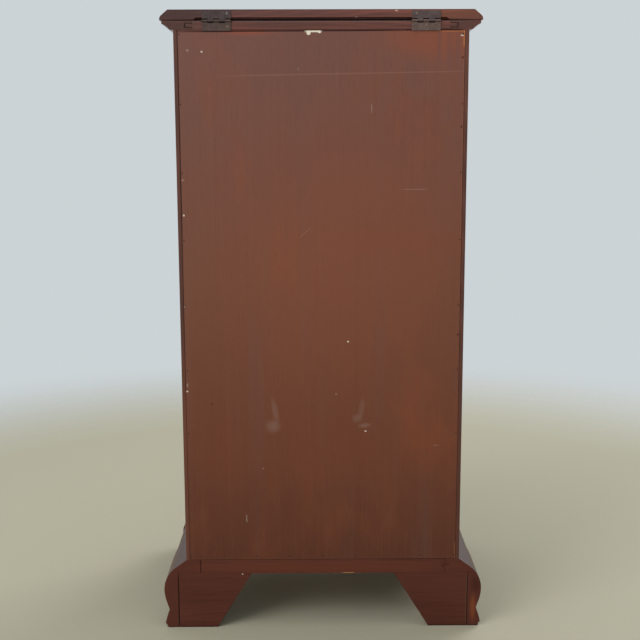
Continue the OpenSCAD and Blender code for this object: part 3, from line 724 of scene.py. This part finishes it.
# The base boards' upward faces are darkened by painted shade.
FOOT_WOOD = Wood(
    dark="#34150c", mid="#572818", light="#764029", worn="#7f4a30", rear=("#4a261c", "#633529"),
    streak=0.25, ring=0.10, end_shade=0.1, rough=0.36, coat=0.08, shine=0.16, top_painted_shade=0.75,
)
SIDE_WOOD = Wood(
    dark="#3c180d", mid="#66301e", light="#884d31", worn="#83503a", rear=("#47261a", "#6c3f30"), streak=0.35,
)
VENEER = BackVeneer(
    dark="#4a271c", light="#8a5b48", worn="#85503a", streak=0.5, fibre=0.3, pore=0.2, rough=0.52, shine=0.25,
    edge_wear=0.2,
)
PALE = Wood(
    dark="#8f6b42", mid="#b8925f", light="#cfae7c", worn="#d8bd92", rear=("#8f6b42", "#cfae7c"),
    ring=0.25, pore=0.15, coat=0.0, rough=0.62,
)
BRASS = Metal(bright="#c9a256", dull="#8f6a34", grime="#3a2a18", tarnish=0.45)
IRON = Metal(bright="#3a2620", dull="#2a1813", grime="#180d0a", tarnish=0.6, rough=0.6, shine=0.3)
# Both bronzes carry painted shade on the left (+x) hinge.
BRONZE = Metal(
    bright="#6c5a56", dull="#47383a", grime="#211a18", tarnish=0.55, rough=0.50, shine=0.5, left_painted_shade=0.42,
)
WORN_BRONZE = Metal(
    bright="#7d655b", dull="#54413c", grime="#2a1d18", tarnish=0.5, rough=0.50, shine=0.5, left_painted_shade=0.5,
)
GAP, SHADOW, GLOW, SMOKE = "#1c0d09", "#2c0f09", "#8f4c30", "#8d7266"
COOL, CHALK, WHITE = "#6b4a48", "#b9a79c", "#eadfc8"
# Wide warm and cool clouds in the back's stain, pale smudges low down, and the nail holes along one edge.
STAINS = tuple(Mark(*row) for row in (
    (-0.06, 0.82, 230.0, 200.0, GLOW, 0.3, 0.8, 0.5),
    (0.02, 0.63, 180.0, 160.0, GLOW, 0.14, 0.8, 0.5, 20.0),
    (-0.215, 1.192, 85.0, 32.0, GLOW, 0.6, 0.8, 0.9),
    (-0.245, 1.15, 45.0, 60.0, GLOW, 0.22, 0.8, 0.9),
    (0.14, 1.206, 45.0, 7.0, "#a04a30", 0.5, 0.7, 0.9),
    (0.19, 0.36, 50.0, 60.0, GLOW, 0.12, 0.8, 0.9),
    (-0.03, 0.36, 120.0, 50.0, GLOW, 0.12, 0.8, 0.9),
    (-0.15, 0.805, 130.0, 22.0, "#86432c", 0.2, 0.8, 0.9, 2.0),
    (-0.2245, 1.178, 4.0, 30.0, COOL, 0.45, 0.8, 0.9),
    (-0.245, 1.17, 6.0, 36.0, COOL, 0.35, 0.8, 0.9),
    (-0.26, 1.174, 4.0, 30.0, COOL, 0.45, 0.8, 0.9),
    (0.0955, 0.464, 5.0, 21.0, SMOKE, 0.3, 0.7, 0.9, -12.0),
    (0.0995, 0.431, 12.0, 11.0, SMOKE, 0.36, 0.7, 0.9),
    (-0.079, 0.465, 4.5, 20.0, SMOKE, 0.22, 0.7, 0.9, 8.0),
    (-0.069, 0.447, 8.0, 7.0, SMOKE, 0.28, 0.7, 0.9, -35.0),
    (-0.085, 0.432, 10.0, 4.0, SMOKE, 0.4, 0.7, 0.9, -8.0),
    (-0.27, 1.1558, 1.5, 2.4, "#2c0f0b", 0.85),
    (-0.27, 1.0258, 1.5, 2.4, "#2c0f0b", 0.85),
    (-0.2702, 0.6181, 1.5, 2.4, "#2c0f0b", 0.85),
))
# The pale chip at the head of the back, and small specks all over it.
SPECKS = tuple(Mark(*row) for row in (
    (0.0243, 1.2014, 3.8, 3.6, WHITE),
    (0.0155, 1.2044, 14.5, 1.5, WHITE, 1.0, 0.2, 0.5, 0.0, Outline.STRAIGHT),
    (0.0036, 1.203, 2.8, 2.0, WHITE),
    (0.2553, 1.1696, 2.4, 2.4, CHALK, 0.3),
    (0.2283, 1.1671, 1.9, 1.9, "#d8c9bf", 0.7),
    (-0.268, 1.1964, 3.0, 1.3, "#d9cfc4", 0.8),
    (0.27, 0.9246, 2.6, 2.2, "#95705a", 0.9),
    (0.2695, 0.8564, 1.7, 1.9, WHITE, 0.75),
    (-0.0872, 0.42, 2.4, 1.3, "#d9c4b8", 0.9),
    (-0.0277, 0.4972, 1.8, 1.6, CHALK, 0.35),
    (-0.0515, 0.6045, 1.9, 1.5, WHITE, 0.9),
    (0.2712, 0.6764, 2.6, 1.5, CHALK, 0.5),
    (0.2706, 0.5168, 1.4, 4.2, CHALK, 0.4),
    (0.2712, 0.5041, 2.0, 1.6, WHITE, 0.7),
    (-0.2296, 0.3898, 6.0, 1.6, CHALK, 0.12),
    (0.2218, 0.4778, 2.0, 2.2, GAP, 0.5),
    (0.1205, 0.3425, 1.6, 1.8, CHALK, 0.3),
    (0.0449, 1.1348, 2.0, 2.4, CHALK, 0.12),
))


@dataclass
class Edges:
    """Dresses pieces and takes their hard edges off, as planing and sanding do."""

    merge: float = 0.01 * MM
    flat: float = math.radians(0.5)
    sharp: float = math.radians(30.0)
    groups: dict = field(default_factory=dict)

    def _group(self, name: str) -> tuple[bpy.types.NodeTree, bpy.types.Node, bpy.types.Node]:
        """Makes a group of geometry nodes with one way in and one way out.

        Args:
            name: The group's name.

        Returns:
            The group, its first node and its last.
        """
        tree = bpy.data.node_groups.new(name, "GeometryNodeTree")
        for way in ("INPUT", "OUTPUT"):
            tree.interface.new_socket("Geometry", in_out=way, socket_type="NodeSocketGeometry")
        self.groups[name] = tree
        return tree, tree.nodes.new("NodeGroupInput"), tree.nodes.new("NodeGroupOutput")

    def _forget_normals(self) -> bpy.types.NodeTree:
        """Nodes that drop the normals that came with a mesh.

        Returns:
            Their group, which is made once.
        """
        if "forget_normals" not in self.groups:
            tree, start, end = self._group("forget_normals")
            drop = tree.nodes.new("GeometryNodeRemoveAttribute")
            drop.inputs["Name"].default_value = "custom_normal"
            tree.links.new(start.outputs[0], drop.inputs["Geometry"])
            tree.links.new(drop.outputs["Geometry"], end.inputs[0])
        return self.groups["forget_normals"]

    def _shade(self) -> bpy.types.NodeTree:
        """Nodes that shade smooth except across edges sharper than a limit.

        Returns:
            Their group, which is made once.
        """
        if "shade_by_angle" not in self.groups:
            tree, start, end = self._group("shade_by_angle")
            faces, edges = (tree.nodes.new("GeometryNodeSetShadeSmooth") for _ in range(2))
            faces.domain, edges.domain = "FACE", "EDGE"
            faces.inputs["Shade Smooth"].default_value = True
            edges.inputs["Shade Smooth"].default_value = False
            angle = tree.nodes.new("GeometryNodeInputMeshEdgeAngle")
            over = tree.nodes.new("FunctionNodeCompare")
            over.data_type, over.operation = "FLOAT", "GREATER_THAN"
            over.inputs["B"].default_value = self.sharp
            tree.links.new(angle.outputs[0], over.inputs["A"])
            tree.links.new(over.outputs[0], edges.inputs["Selection"])
            tree.links.new(start.outputs[0], faces.inputs["Geometry"])
            tree.links.new(faces.outputs[0], edges.inputs["Geometry"])
            tree.links.new(edges.outputs[0], end.inputs[0])
        return self.groups["shade_by_angle"]

    def dress(self, node: str, material: bpy.types.Material, width: float = 0.0, segments: int = 2) -> None:
        """Gives a CAD node its material and rounds its sharp edges, while its own mesh stays as it is.

        Args:
            node: The node's name.
            material: Its material.
            width: The width of the rounding in metres, or 0 for none.
            segments: The rounding's faces across its width.
        """
        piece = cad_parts[node]
        piece.material_slots[0].material = material
        piece.modifiers.new("forget_normals", "NODES").node_group = self._forget_normals()
        piece.modifiers.new("weld", "WELD").merge_threshold = self.merge
        if width > 0:
            flat = piece.modifiers.new("flat_faces", "DECIMATE")
            flat.decimate_type, flat.angle_limit = "DISSOLVE", self.flat
            bevel = piece.modifiers.new("rounded_edges", "BEVEL")
            bevel.limit_method, bevel.angle_limit = "ANGLE", self.sharp
            bevel.width, bevel.segments = width, segments
        piece.modifiers.new("shade_by_angle", "NODES").node_group = self._shade()
        if width > 0:
            piece.modifiers.new("level_faces", "WEIGHTED_NORMAL").keep_sharp = True
        LOG.info("dressed %s", node)


@dataclass
class Case:
    """The fixed case: sides, back, rails, runners and compartment. A hair is in millimetres, like all marks."""

    edges: Edges
    arris: float = 0.7 * MM
    lip: float = 22.0 * MM
    hair: float = 1.6

    def _seams(self) -> Marks:
        """The dark joints round the back, the painted shadow line under the top frame, its scratches and its
        rubbed edge.

        Returns:
            The marks.
        """
        low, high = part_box("back_panel")
        top, rubbed, inner = high[2], low[0] + 2.4 * MM, high[0] - 0.6 * MM
        level, upright, break_z, break_x = top - 0.8 * MM, 1.177, 0.560, -0.160
        return (
            seam(low[0], low[2], low[0], top, self.hair, GAP, 0.9),
            seam(high[0], break_z, high[0], top, self.hair, GAP, 0.9),
            seam(high[0], low[2], high[0], break_z, self.hair, GAP, 0.35),
            seam(low[0], low[2], high[0], low[2], 1.8, GAP, 0.75),
            # Painted shadow: a dark line under the top frame's overhang, lower and sloping down from break_x
            # towards +x.
            seam(low[0], level, break_x, level, 2.2, SHADOW, 0.85),
            seam(break_x, top - 1.0 * MM, high[0], top - 1.0 * MM, 2.4, "#5a322b", 0.8),
            seam(break_x, top - 1.4 * MM, high[0], top - 3.0 * MM, 2.6, SHADOW, 0.85),
            seam(inner, 0.8, inner, top, 2.2, SHADOW, 0.7),
            seam(-0.225, top - 3.0 * MM, low[0], top - 3.0 * MM, 1.8, "#b8703f", 0.6),
            seam(0.165, 1.1224, -0.27, 1.1297, 2.2, "#c08a74", 0.13),
            seam(-0.0966, 1.0533, -0.0963, 1.0684, 1.2, CHALK, 0.4),
            seam(-0.1593, 0.906, -0.2023, 0.9057, 1.4, CHALK, 0.22),
            seam(0.0421, 0.8137, 0.0223, 0.8313, 1.4, CHALK, 0.14),
            seam(0.1556, 0.229, 0.1559, 0.244, 2.4, CHALK, 0.33),
            seam(rubbed, upright, rubbed, top, 2.2, "#c27a48", 0.7),
            seam(rubbed, 0.8, rubbed, upright, 1.4, "#9a5836", 0.25),
            seam(rubbed, 0.149, rubbed, 0.182, 2.0, "#a5603a", 0.4),
        )

    def _side_marks(self) -> Marks:
        """The warm, worn lower part of one side panel's rear edge.

        Returns:
            The marks.
        """
        _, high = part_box("side_panel_right")
        rim = high[0] - 0.6 * MM
        return (
            Mark(high[0] - 3.6 * MM, 0.33, 8.0, 220.0, "#74402f", 0.6, 0.6, 0.3),
            seam(rim, 0.16, rim, 0.64, 1.6, "#5c3d1e", 0.7),
        )

    def build(self) -> None:
        """Dresses every piece of the case."""
        front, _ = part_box("front_rails")
        back = (*STAINS, *self._seams(), *SPECKS)
        boards = (
            (VENEER, Board("back_panel", Axis.Z, 2, marks=back)),
            (SIDE_WOOD, Board("side_panel_left", Axis.Z, 3)),
            (SIDE_WOOD, Board("side_panel_right", Axis.Z, 5, marks=self._side_marks())),
            (PALE, Board("compartment_floor", Axis.X, 4)),
            (MAHOGANY, Board("compartment_front", Axis.X, 6)),
            (MAHOGANY, Board("front_rails", Axis.X, 7)),
            (PALE, Board("drawer_runners", Axis.Y, 8)),
            (PALE, Board("case_bottom", Axis.X, 9, facing=MAHOGANY, facing_from=front[1] + self.lip)),
            (PALE, Board("foot_glue_blocks", Axis.Z, 10)),
        )
        for wood, board in boards:
            self.edges.dress(board.node, wood.dress(board), self.arris)
        self.edges.dress("back_panel_nails", IRON.dress("nails"))


@dataclass
class TopFrame:
    """The moulded frame under the lid. Its joint and the half sizes of the dark hinge patches are in
    millimetres, as marks are.
    """

    edges: Edges
    arris: float = 0.5 * MM
    joint: float = 1.9
    tongue: float = 4.0 * MM
    slope_from: float = -0.160
    hinge_x: float = 199.0 * MM
    hinge_half: float = 26.5
    hinge_patch_tall: float = 6.5
    gap: str = "#120908"

    def joints(self) -> Marks:
        """The dark outlines of the rail's shoulders and tongues, the dark hinge patches, and painted shade,
        shadow lines and an arris highlight.

        Returns:
            The marks.
        """
        low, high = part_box("top_frame_rear_rail")
        side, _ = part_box("top_frame_side_right")
        middle, foot = (low[2] + high[2]) / 2, low[2] + 0.6 * MM
        arris, head = high[2] - 2.2 * MM, high[2] - 0.5 * MM
        found = [
            # Painted shade: grey-brown clouds that darken the rail, most at its +x end.
            Mark(0.28, middle, 45.0, 11.0, "#3d332e", 0.5, 0.5, 0.7),
            Mark(-0.27, middle, 20.0, 11.0, "#4a3c38", 0.25, 0.5, 0.7),
            Mark(0.07, middle, 100.0, 12.0, "#44291f", 0.22, 0.6, 0.6),
        ]
        for sign in (-1, 1):
            shoulder, tip = sign * side[0], sign * high[0]
            under, over = middle - self.tongue, middle + self.tongue
            found += [seam(shoulder, z, tip, z, self.joint, self.gap, 0.8) for z in (under, over)]
            found.append(seam(tip, under, tip, over, self.joint * 1.2, self.gap, 1.0))
            found.append(seam(shoulder, low[2], shoulder, high[2], self.joint * 0.6, self.gap, 0.35))
        found += [
            # Painted shadow: dark lines along the rail's foot, where it meets the back panel.
            seam(low[0], foot, self.slope_from, foot, self.joint, SHADOW, 0.85),
            seam(self.slope_from, foot, high[0], foot, self.joint, SHADOW, 0.4),
            # Painted highlight: a pale grey line along the rail's upper arris.
            seam(low[0], arris, high[0], arris, 2.2, "#6f5a52", 0.45),
            # Painted shade: a near-black line along the rail's head under the lid's recess.
            seam(-RECESS, head, RECESS, head, 1.4, "#160a08", 0.85),
        ]
        # A dark patch on the rail behind each hinge, which shows through the notches of the leaves.
        for x in (-self.hinge_x, self.hinge_x):
            size = (self.hinge_half, self.hinge_patch_tall)
            found.append(Mark(x, high[2], *size, self.gap, 0.9, 0.15, 0.1, 0.0, Outline.STRAIGHT))
        return tuple(found)

    def build(self) -> None:
        """Dresses the four boards of the frame."""
        joints = self.joints()
        boards = (
            Board("top_frame_side_left", Axis.Y, 11, marks=joints),
            Board("top_frame_side_right", Axis.Y, 12, marks=joints),
            Board("top_frame_rear_rail", Axis.X, 13, marks=joints),
            Board("top_frame_front_rail", Axis.X, 14),
        )
        for board in boards:
            self.edges.dress(board.node, RAIL_WOOD.dress(board), self.arris)


@dataclass
class Lid:
    """The lifting top with its half of the hinges and the stay's guide."""

    edges: Edges
    arris: float = 0.8 * MM
    rise: float = 10.0 * MM

    def scuffs(self) -> Marks:
        """The lid's rear edge: painted shade, specks, painted shadow lines at its foot and a dark line at its
        head.

        Returns:
            The marks.
        """
        low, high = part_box("lid")
        middle, head = low[2] + self.rise, high[2] - 0.8 * MM
        foot, hollow = low[2] + 0.4 * MM, low[2] + 1.6 * MM
        return (
            # Painted shade: darker clouds towards the +x end and the middle, and a warmer, lighter patch towards
            # -x.
            Mark(-0.25, middle, 90.0, 16.0, "#8f5238", 0.45, 0.7, 0.6),
            Mark(0.27, middle, 60.0, 16.0, "#46322f", 0.65, 0.7, 0.6),
            Mark(0.07, middle, 100.0, 18.0, "#4a3430", 0.35, 0.6, 0.6),
            Mark(-0.1424, high[2] - 2.6 * MM, 3.0, 1.6, "#c9a596", 0.7),
            Mark(-0.0662, low[2] + 5.6 * MM, 2.6, 1.4, "#a5776a", 0.6),
            Mark(0.3, middle, 80.0, 20.0, "#3f2a28", 0.35, 0.7, 0.6),
            # Painted shadow: near-black lines in the hinge recess and along the lid's foot.
            seam(-RECESS, hollow, RECESS, hollow, 3.2, "#0c0504", 0.95),
            seam(low[0], foot, high[0], foot, 3.0, "#120806", 0.9),
            seam(low[0], head, high[0], head, 2.0, "#3a2a2f", 0.5),
        )

    def build(self) -> None:
        """Dresses the lid and what is screwed to it."""
        # Painted highlights: pale spots on the lid's hinge leaves and screws.
        spots = (
            Mark(0.1789, 1.2378, 2.0, 3.0, "#8f7d78", 0.55),
            Mark(-0.1807, 1.2375, 2.4, 2.4, "#8d8266", 0.5),
        )
        board = Board("lid", Axis.X, 15, marks=self.scuffs())
        self.edges.dress("lid", LID_WOOD.dress(board), self.arris, 3)
        self.edges.dress("lid_hinge_leaves", BRONZE.dress("lid_hinge", spots), METAL_ARRIS)
        self.edges.dress("lid_screws", BRONZE.dress("lid_screws", spots))
        self.edges.dress("lid_stay_guide", BRASS.dress("stay_guide"), METAL_ARRIS)


@dataclass
class Fittings:
    """The fixed metalwork: hinge leaves, pins, screws, and the stay's bracket and arm."""

    edges: Edges

    def build(self) -> None:
        """Dresses the fixed metal pieces."""
        # Painted highlights: pale spots on the case's hinge leaves and screws.
        spots = (
            Mark(0.1786, 1.2136, 3.0, 1.8, "#8a7367", 0.5),
            Mark(-0.199, 1.2161, 1.8, 2.4, "#8a7a5a", 0.5),
        )
        self.edges.dress("case_hinge_leaves", WORN_BRONZE.dress("case_hinge", spots), METAL_ARRIS)
        self.edges.dress("hinge_pins", BRONZE.dress("pins"))
        self.edges.dress("case_screws", WORN_BRONZE.dress("case_screws", spots))
        for name in ("stay_bracket", "stay_arm"):
            self.edges.dress("lid_" + name, BRASS.dress(name), METAL_ARRIS)


@dataclass
class Base:
    """The moulded base frame and the ogee bracket feet."""

    edges: Edges
    arris: float = 0.6 * MM
    first_seed: int = 20
    gap: str = "#150a08"

    def marks(self) -> Marks:
        """Joints, the pale speck and the chip along the rear rail, wear on the feet, and a painted contact
        shadow under them.

        Returns:
            The marks.
        """
        low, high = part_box("base_frame_rear_rail")
        inner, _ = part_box("rear_foot_side_right")
        chip, contact_shadow_z = low[2] + 0.6 * MM, 1.2 * MM
        found = []
        for sign, shows in ((-1, 1.0), (1, 0.4)):
            end, joint = -sign * high[0], sign * inner[0]
            found.append(seam(end, low[2] + 3 * MM, end, high[2], 2.0, self.gap, shows))
            found.append(seam(joint, 0.0, joint, low[2] - 3 * MM, 2.4, self.gap, 0.95))
        found += [
            Mark(0.1661, 0.1162, 1.5, 1.5, "#cfc4b6", 0.85),
            seam(-0.042, chip, -0.064, chip, 2.6, "#c98a55", 0.85),
            Mark(-0.248, 0.1335, 2.4, 4.0, self.gap, 0.6),
            Mark(-0.2575, 0.1355, 5.0, 3.2, self.gap, 0.35, 0.6, 0.9),
            seam(-0.298, 0.004, -0.298, low[2] - 4 * MM, 1.1, "#8a6a4c", 0.35),
            Mark(-0.312, 0.04, 5.0, 24.0, "#96502a", 0.5, 0.8, 0.8),
            Mark(-0.318, 0.09, 10.0, 16.0, "#3a1d14", 0.5, 0.7, 0.6),
            # Painted shadow: a dark line where the feet meet the floor.
            seam(-0.335, contact_shadow_z, 0.335, contact_shadow_z, 2.6, "#1d0d09", 0.7),
            Mark(0.0, low[2] + 14 * MM, 260.0, 12.0, "#6f3a27", 0.45, 0.6, 0.5),
        ]
        return tuple(found)

    def build(self) -> None:
        """Dresses the base and the feet."""
        marks = self.marks()
        nodes = [f"base_frame_{board}" for board in ("side_left", "side_right", "rear_rail", "front_rail")]
        nodes += [
            f"{foot}_foot_{board}_{side}"
            for foot, face in (("rear", "back"), ("front", "front"))
            for board in ("side", face) for side in ("left", "right")
        ]
        for seed, node in enumerate(nodes, self.first_seed):
            grain = Axis.Y if "side" in node else Axis.X
            here = marks if "rear" in node or "side" in node else ()
            self.edges.dress(node, FOOT_WOOD.dress(Board(node, grain, seed, marks=here)), self.arris)


@dataclass
class Drawer:
    """One drawer with its two handles, counted from 1 at the top."""

    edges: Edges
    number: int
    arris: float = 0.6 * MM
    plate_arris: float = 0.3 * MM
    side: float = 9.0 * MM
    front_seed: int = 40
    box_seed: int = 50

    def build(self) -> None:
        """Dresses the front, the box, the plates and the bails."""
        i = self.number
        _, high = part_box(f"drawer_box_{i}")
        front = Board(f"drawer_front_{i}", Axis.X, self.front_seed + i)
        sides = Board(f"drawer_box_{i}", Axis.Y, self.box_seed + i, Axis.X, high[0] - self.side)
        self.edges.dress(front.node, MAHOGANY.dress(front), self.arris)
        self.edges.dress(sides.node, PALE.dress(sides), self.arris)
        self.edges.dress(f"drawer_plates_{i}", BRASS.dress(f"plates_{i}"), self.plate_arris)
        for side in ("left", "right"):
            self.edges.dress(f"bail_{side}_{i}", BRASS.dress(f"bail_{side}_{i}"))


@dataclass(frozen=True)
class Lamp:
    """One soft square lamp that faces the chest."""

    name: str
    place: tuple[float, float, float]
    size: float
    power: float
    aim: tuple[float, float, float] = (0.0, 0.0, 0.6)

    def build(self) -> None:
        """Hangs the lamp."""
        data = bpy.data.lights.new(self.name, "AREA")
        data.size, data.energy = self.size, self.power
        lamp = bpy.data.objects.new(self.name, data)
        lamp.location = self.place
        lamp.rotation_mode = "QUATERNION"
        lamp.rotation_quaternion = (Vector(self.aim) - Vector(self.place)).to_track_quat("-Z", "Y")
        bpy.context.scene.collection.objects.link(lamp)


@dataclass
class Studio:
    """The camera that the photograph was taken with, a pale floor and soft light."""

    place: tuple[float, float, float] = (0.0175, 2.2854, 0.9930)
    pitch: float = 9.52
    yaw: float = -0.424
    roll: float = -0.169
    focal: float = 58.98
    sensor: float = 36.0
    shift: float = -1.0 / 640
    floor_radius: float = 2.6
    floor_steps: int = 96
    floor_fade: tuple[float, float] = (0.5, 0.98)
    floor_tone: str = "#a8a48e"
    floor_grit: str = "#8f897b"
    floor_rough: float = 0.85
    backdrop: str = "#ccd3d6"
    sky: tuple[float, float, float, float] = (0.94, 0.97, 1.0, 1.0)
    sky_strength: float = 0.55
    lamps: tuple[Lamp, ...] = (
        Lamp("window_behind", (3.0, 3.0, 3.2), 2.6, 120.0),
        Lamp("window_front", (-3.0, -3.0, 3.2), 2.6, 120.0),
        Lamp("ceiling", (0.0, 0.0, 3.9), 3.2, 40.0),
    )

    def camera(self) -> None:
        """Sets up the camera behind the chest."""
        pitch, yaw, roll = (math.radians(a) for a in (self.pitch, self.yaw, self.roll))
        ahead = Vector((math.sin(yaw) * math.cos(pitch), -math.cos(yaw) * math.cos(pitch), -math.sin(pitch)))
        right = ahead.cross(Vector((0, 0, 1))).normalized()
        up = right.cross(ahead)
        across = math.cos(roll) * right + math.sin(roll) * up
        rise = math.cos(roll) * up - math.sin(roll) * right
        data = bpy.data.cameras.new("photo_camera")
        data.sensor_width, data.lens, data.shift_x = self.sensor, self.focal, self.shift
        camera = bpy.data.objects.new("photo_camera", data)
        turn = Matrix((across, rise, -ahead)).transposed().to_4x4()
        camera.matrix_world = Matrix.Translation(self.place) @ turn
        bpy.context.scene.collection.objects.link(camera)
        bpy.context.scene.camera = camera

    def world(self) -> None:
        """Lights the room evenly and shows a plain backdrop."""
        world = bpy.data.worlds.new("room")
        bpy.context.scene.world = world
        world.use_nodes = True
        tree = world.node_tree
        tree.nodes.clear()
        path = tree.nodes.new("ShaderNodeLightPath")
        either, seen = (tree.nodes.new("ShaderNodeMath") for _ in range(2))
        either.operation = seen.operation = "MAXIMUM"
        tree.links.new(path.outputs["Is Camera Ray"], either.inputs[0])
        tree.links.new(path.outputs["Is Transmission Ray"], either.inputs[1])
        tree.links.new(path.outputs["Is Glossy Ray"], seen.inputs[0])
        tree.links.new(either.outputs[0], seen.inputs[1])
        light, shown = (tree.nodes.new("ShaderNodeBackground") for _ in range(2))
        light.inputs["Color"].default_value = self.sky
        light.inputs["Strength"].default_value = self.sky_strength
        shown.inputs["Color"].default_value = linear(self.backdrop)
        mix, out = tree.nodes.new("ShaderNodeMixShader"), tree.nodes.new("ShaderNodeOutputWorld")
        for source, target in ((seen, mix.inputs[0]), (light, mix.inputs[1]), (shown, mix.inputs[2])):
            tree.links.new(source.outputs[0], target)
        tree.links.new(mix.outputs[0], out.inputs[0])

    def floor(self) -> None:
        """Adds a plain pale floor that fades into the backdrop."""
        s = Shader("floor")
        point = s.point()
        x, y, _ = s.split(point)
        far = (x * x + y * y).root()
        grit = GRIT.at(s, point)
        colour = s.mix(0.06 + grit * 0.08, self.floor_tone, self.floor_grit)
        s.finish(Base_Color=colour, Roughness=self.floor_rough)
        clear = s.tree.nodes.new("ShaderNodeBsdfTransparent")
        mix = s.tree.nodes.new("ShaderNodeMixShader")
        s.feed(mix.inputs[0], far.ramp(*(self.floor_radius * share for share in self.floor_fade)))
        s.tree.links.new(s.surface.outputs[0], mix.inputs[1])
        s.tree.links.new(clear.outputs[0], mix.inputs[2])
        s.tree.links.new(mix.outputs[0], s.output.inputs["Surface"])
        mesh = bpy.data.meshes.new("floor")
        turns = [2 * math.pi * k / self.floor_steps for k in range(self.floor_steps)]
        rim = [(self.floor_radius * math.cos(a), self.floor_radius * math.sin(a), 0) for a in turns]
        mesh.from_pydata(rim, [], [tuple(range(self.floor_steps))])
        mesh.materials.append(s.material)
        floor = bpy.data.objects.new("floor", mesh)
        bpy.context.scene.collection.objects.link(floor)

    def build(self) -> None:
        """Sets up the whole studio."""
        self.camera()
        self.world()
        self.floor()
        for lamp in self.lamps:
            lamp.build()
        bpy.context.scene.view_settings.view_transform = "Standard"


def main() -> None:
    """Builds the studio and dresses the chest, sub-assembly by sub-assembly."""
    logging.basicConfig(level=logging.INFO, format="%(name)s: %(message)s")
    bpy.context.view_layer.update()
    edges = Edges()
    Studio().build()
    for assembly in (Case, TopFrame, Lid, Fittings, Base):
        assembly(edges).build()
    for number in range(1, DRAWERS + 1):
        Drawer(edges, number).build()


if __name__ == "__main__":
    main()
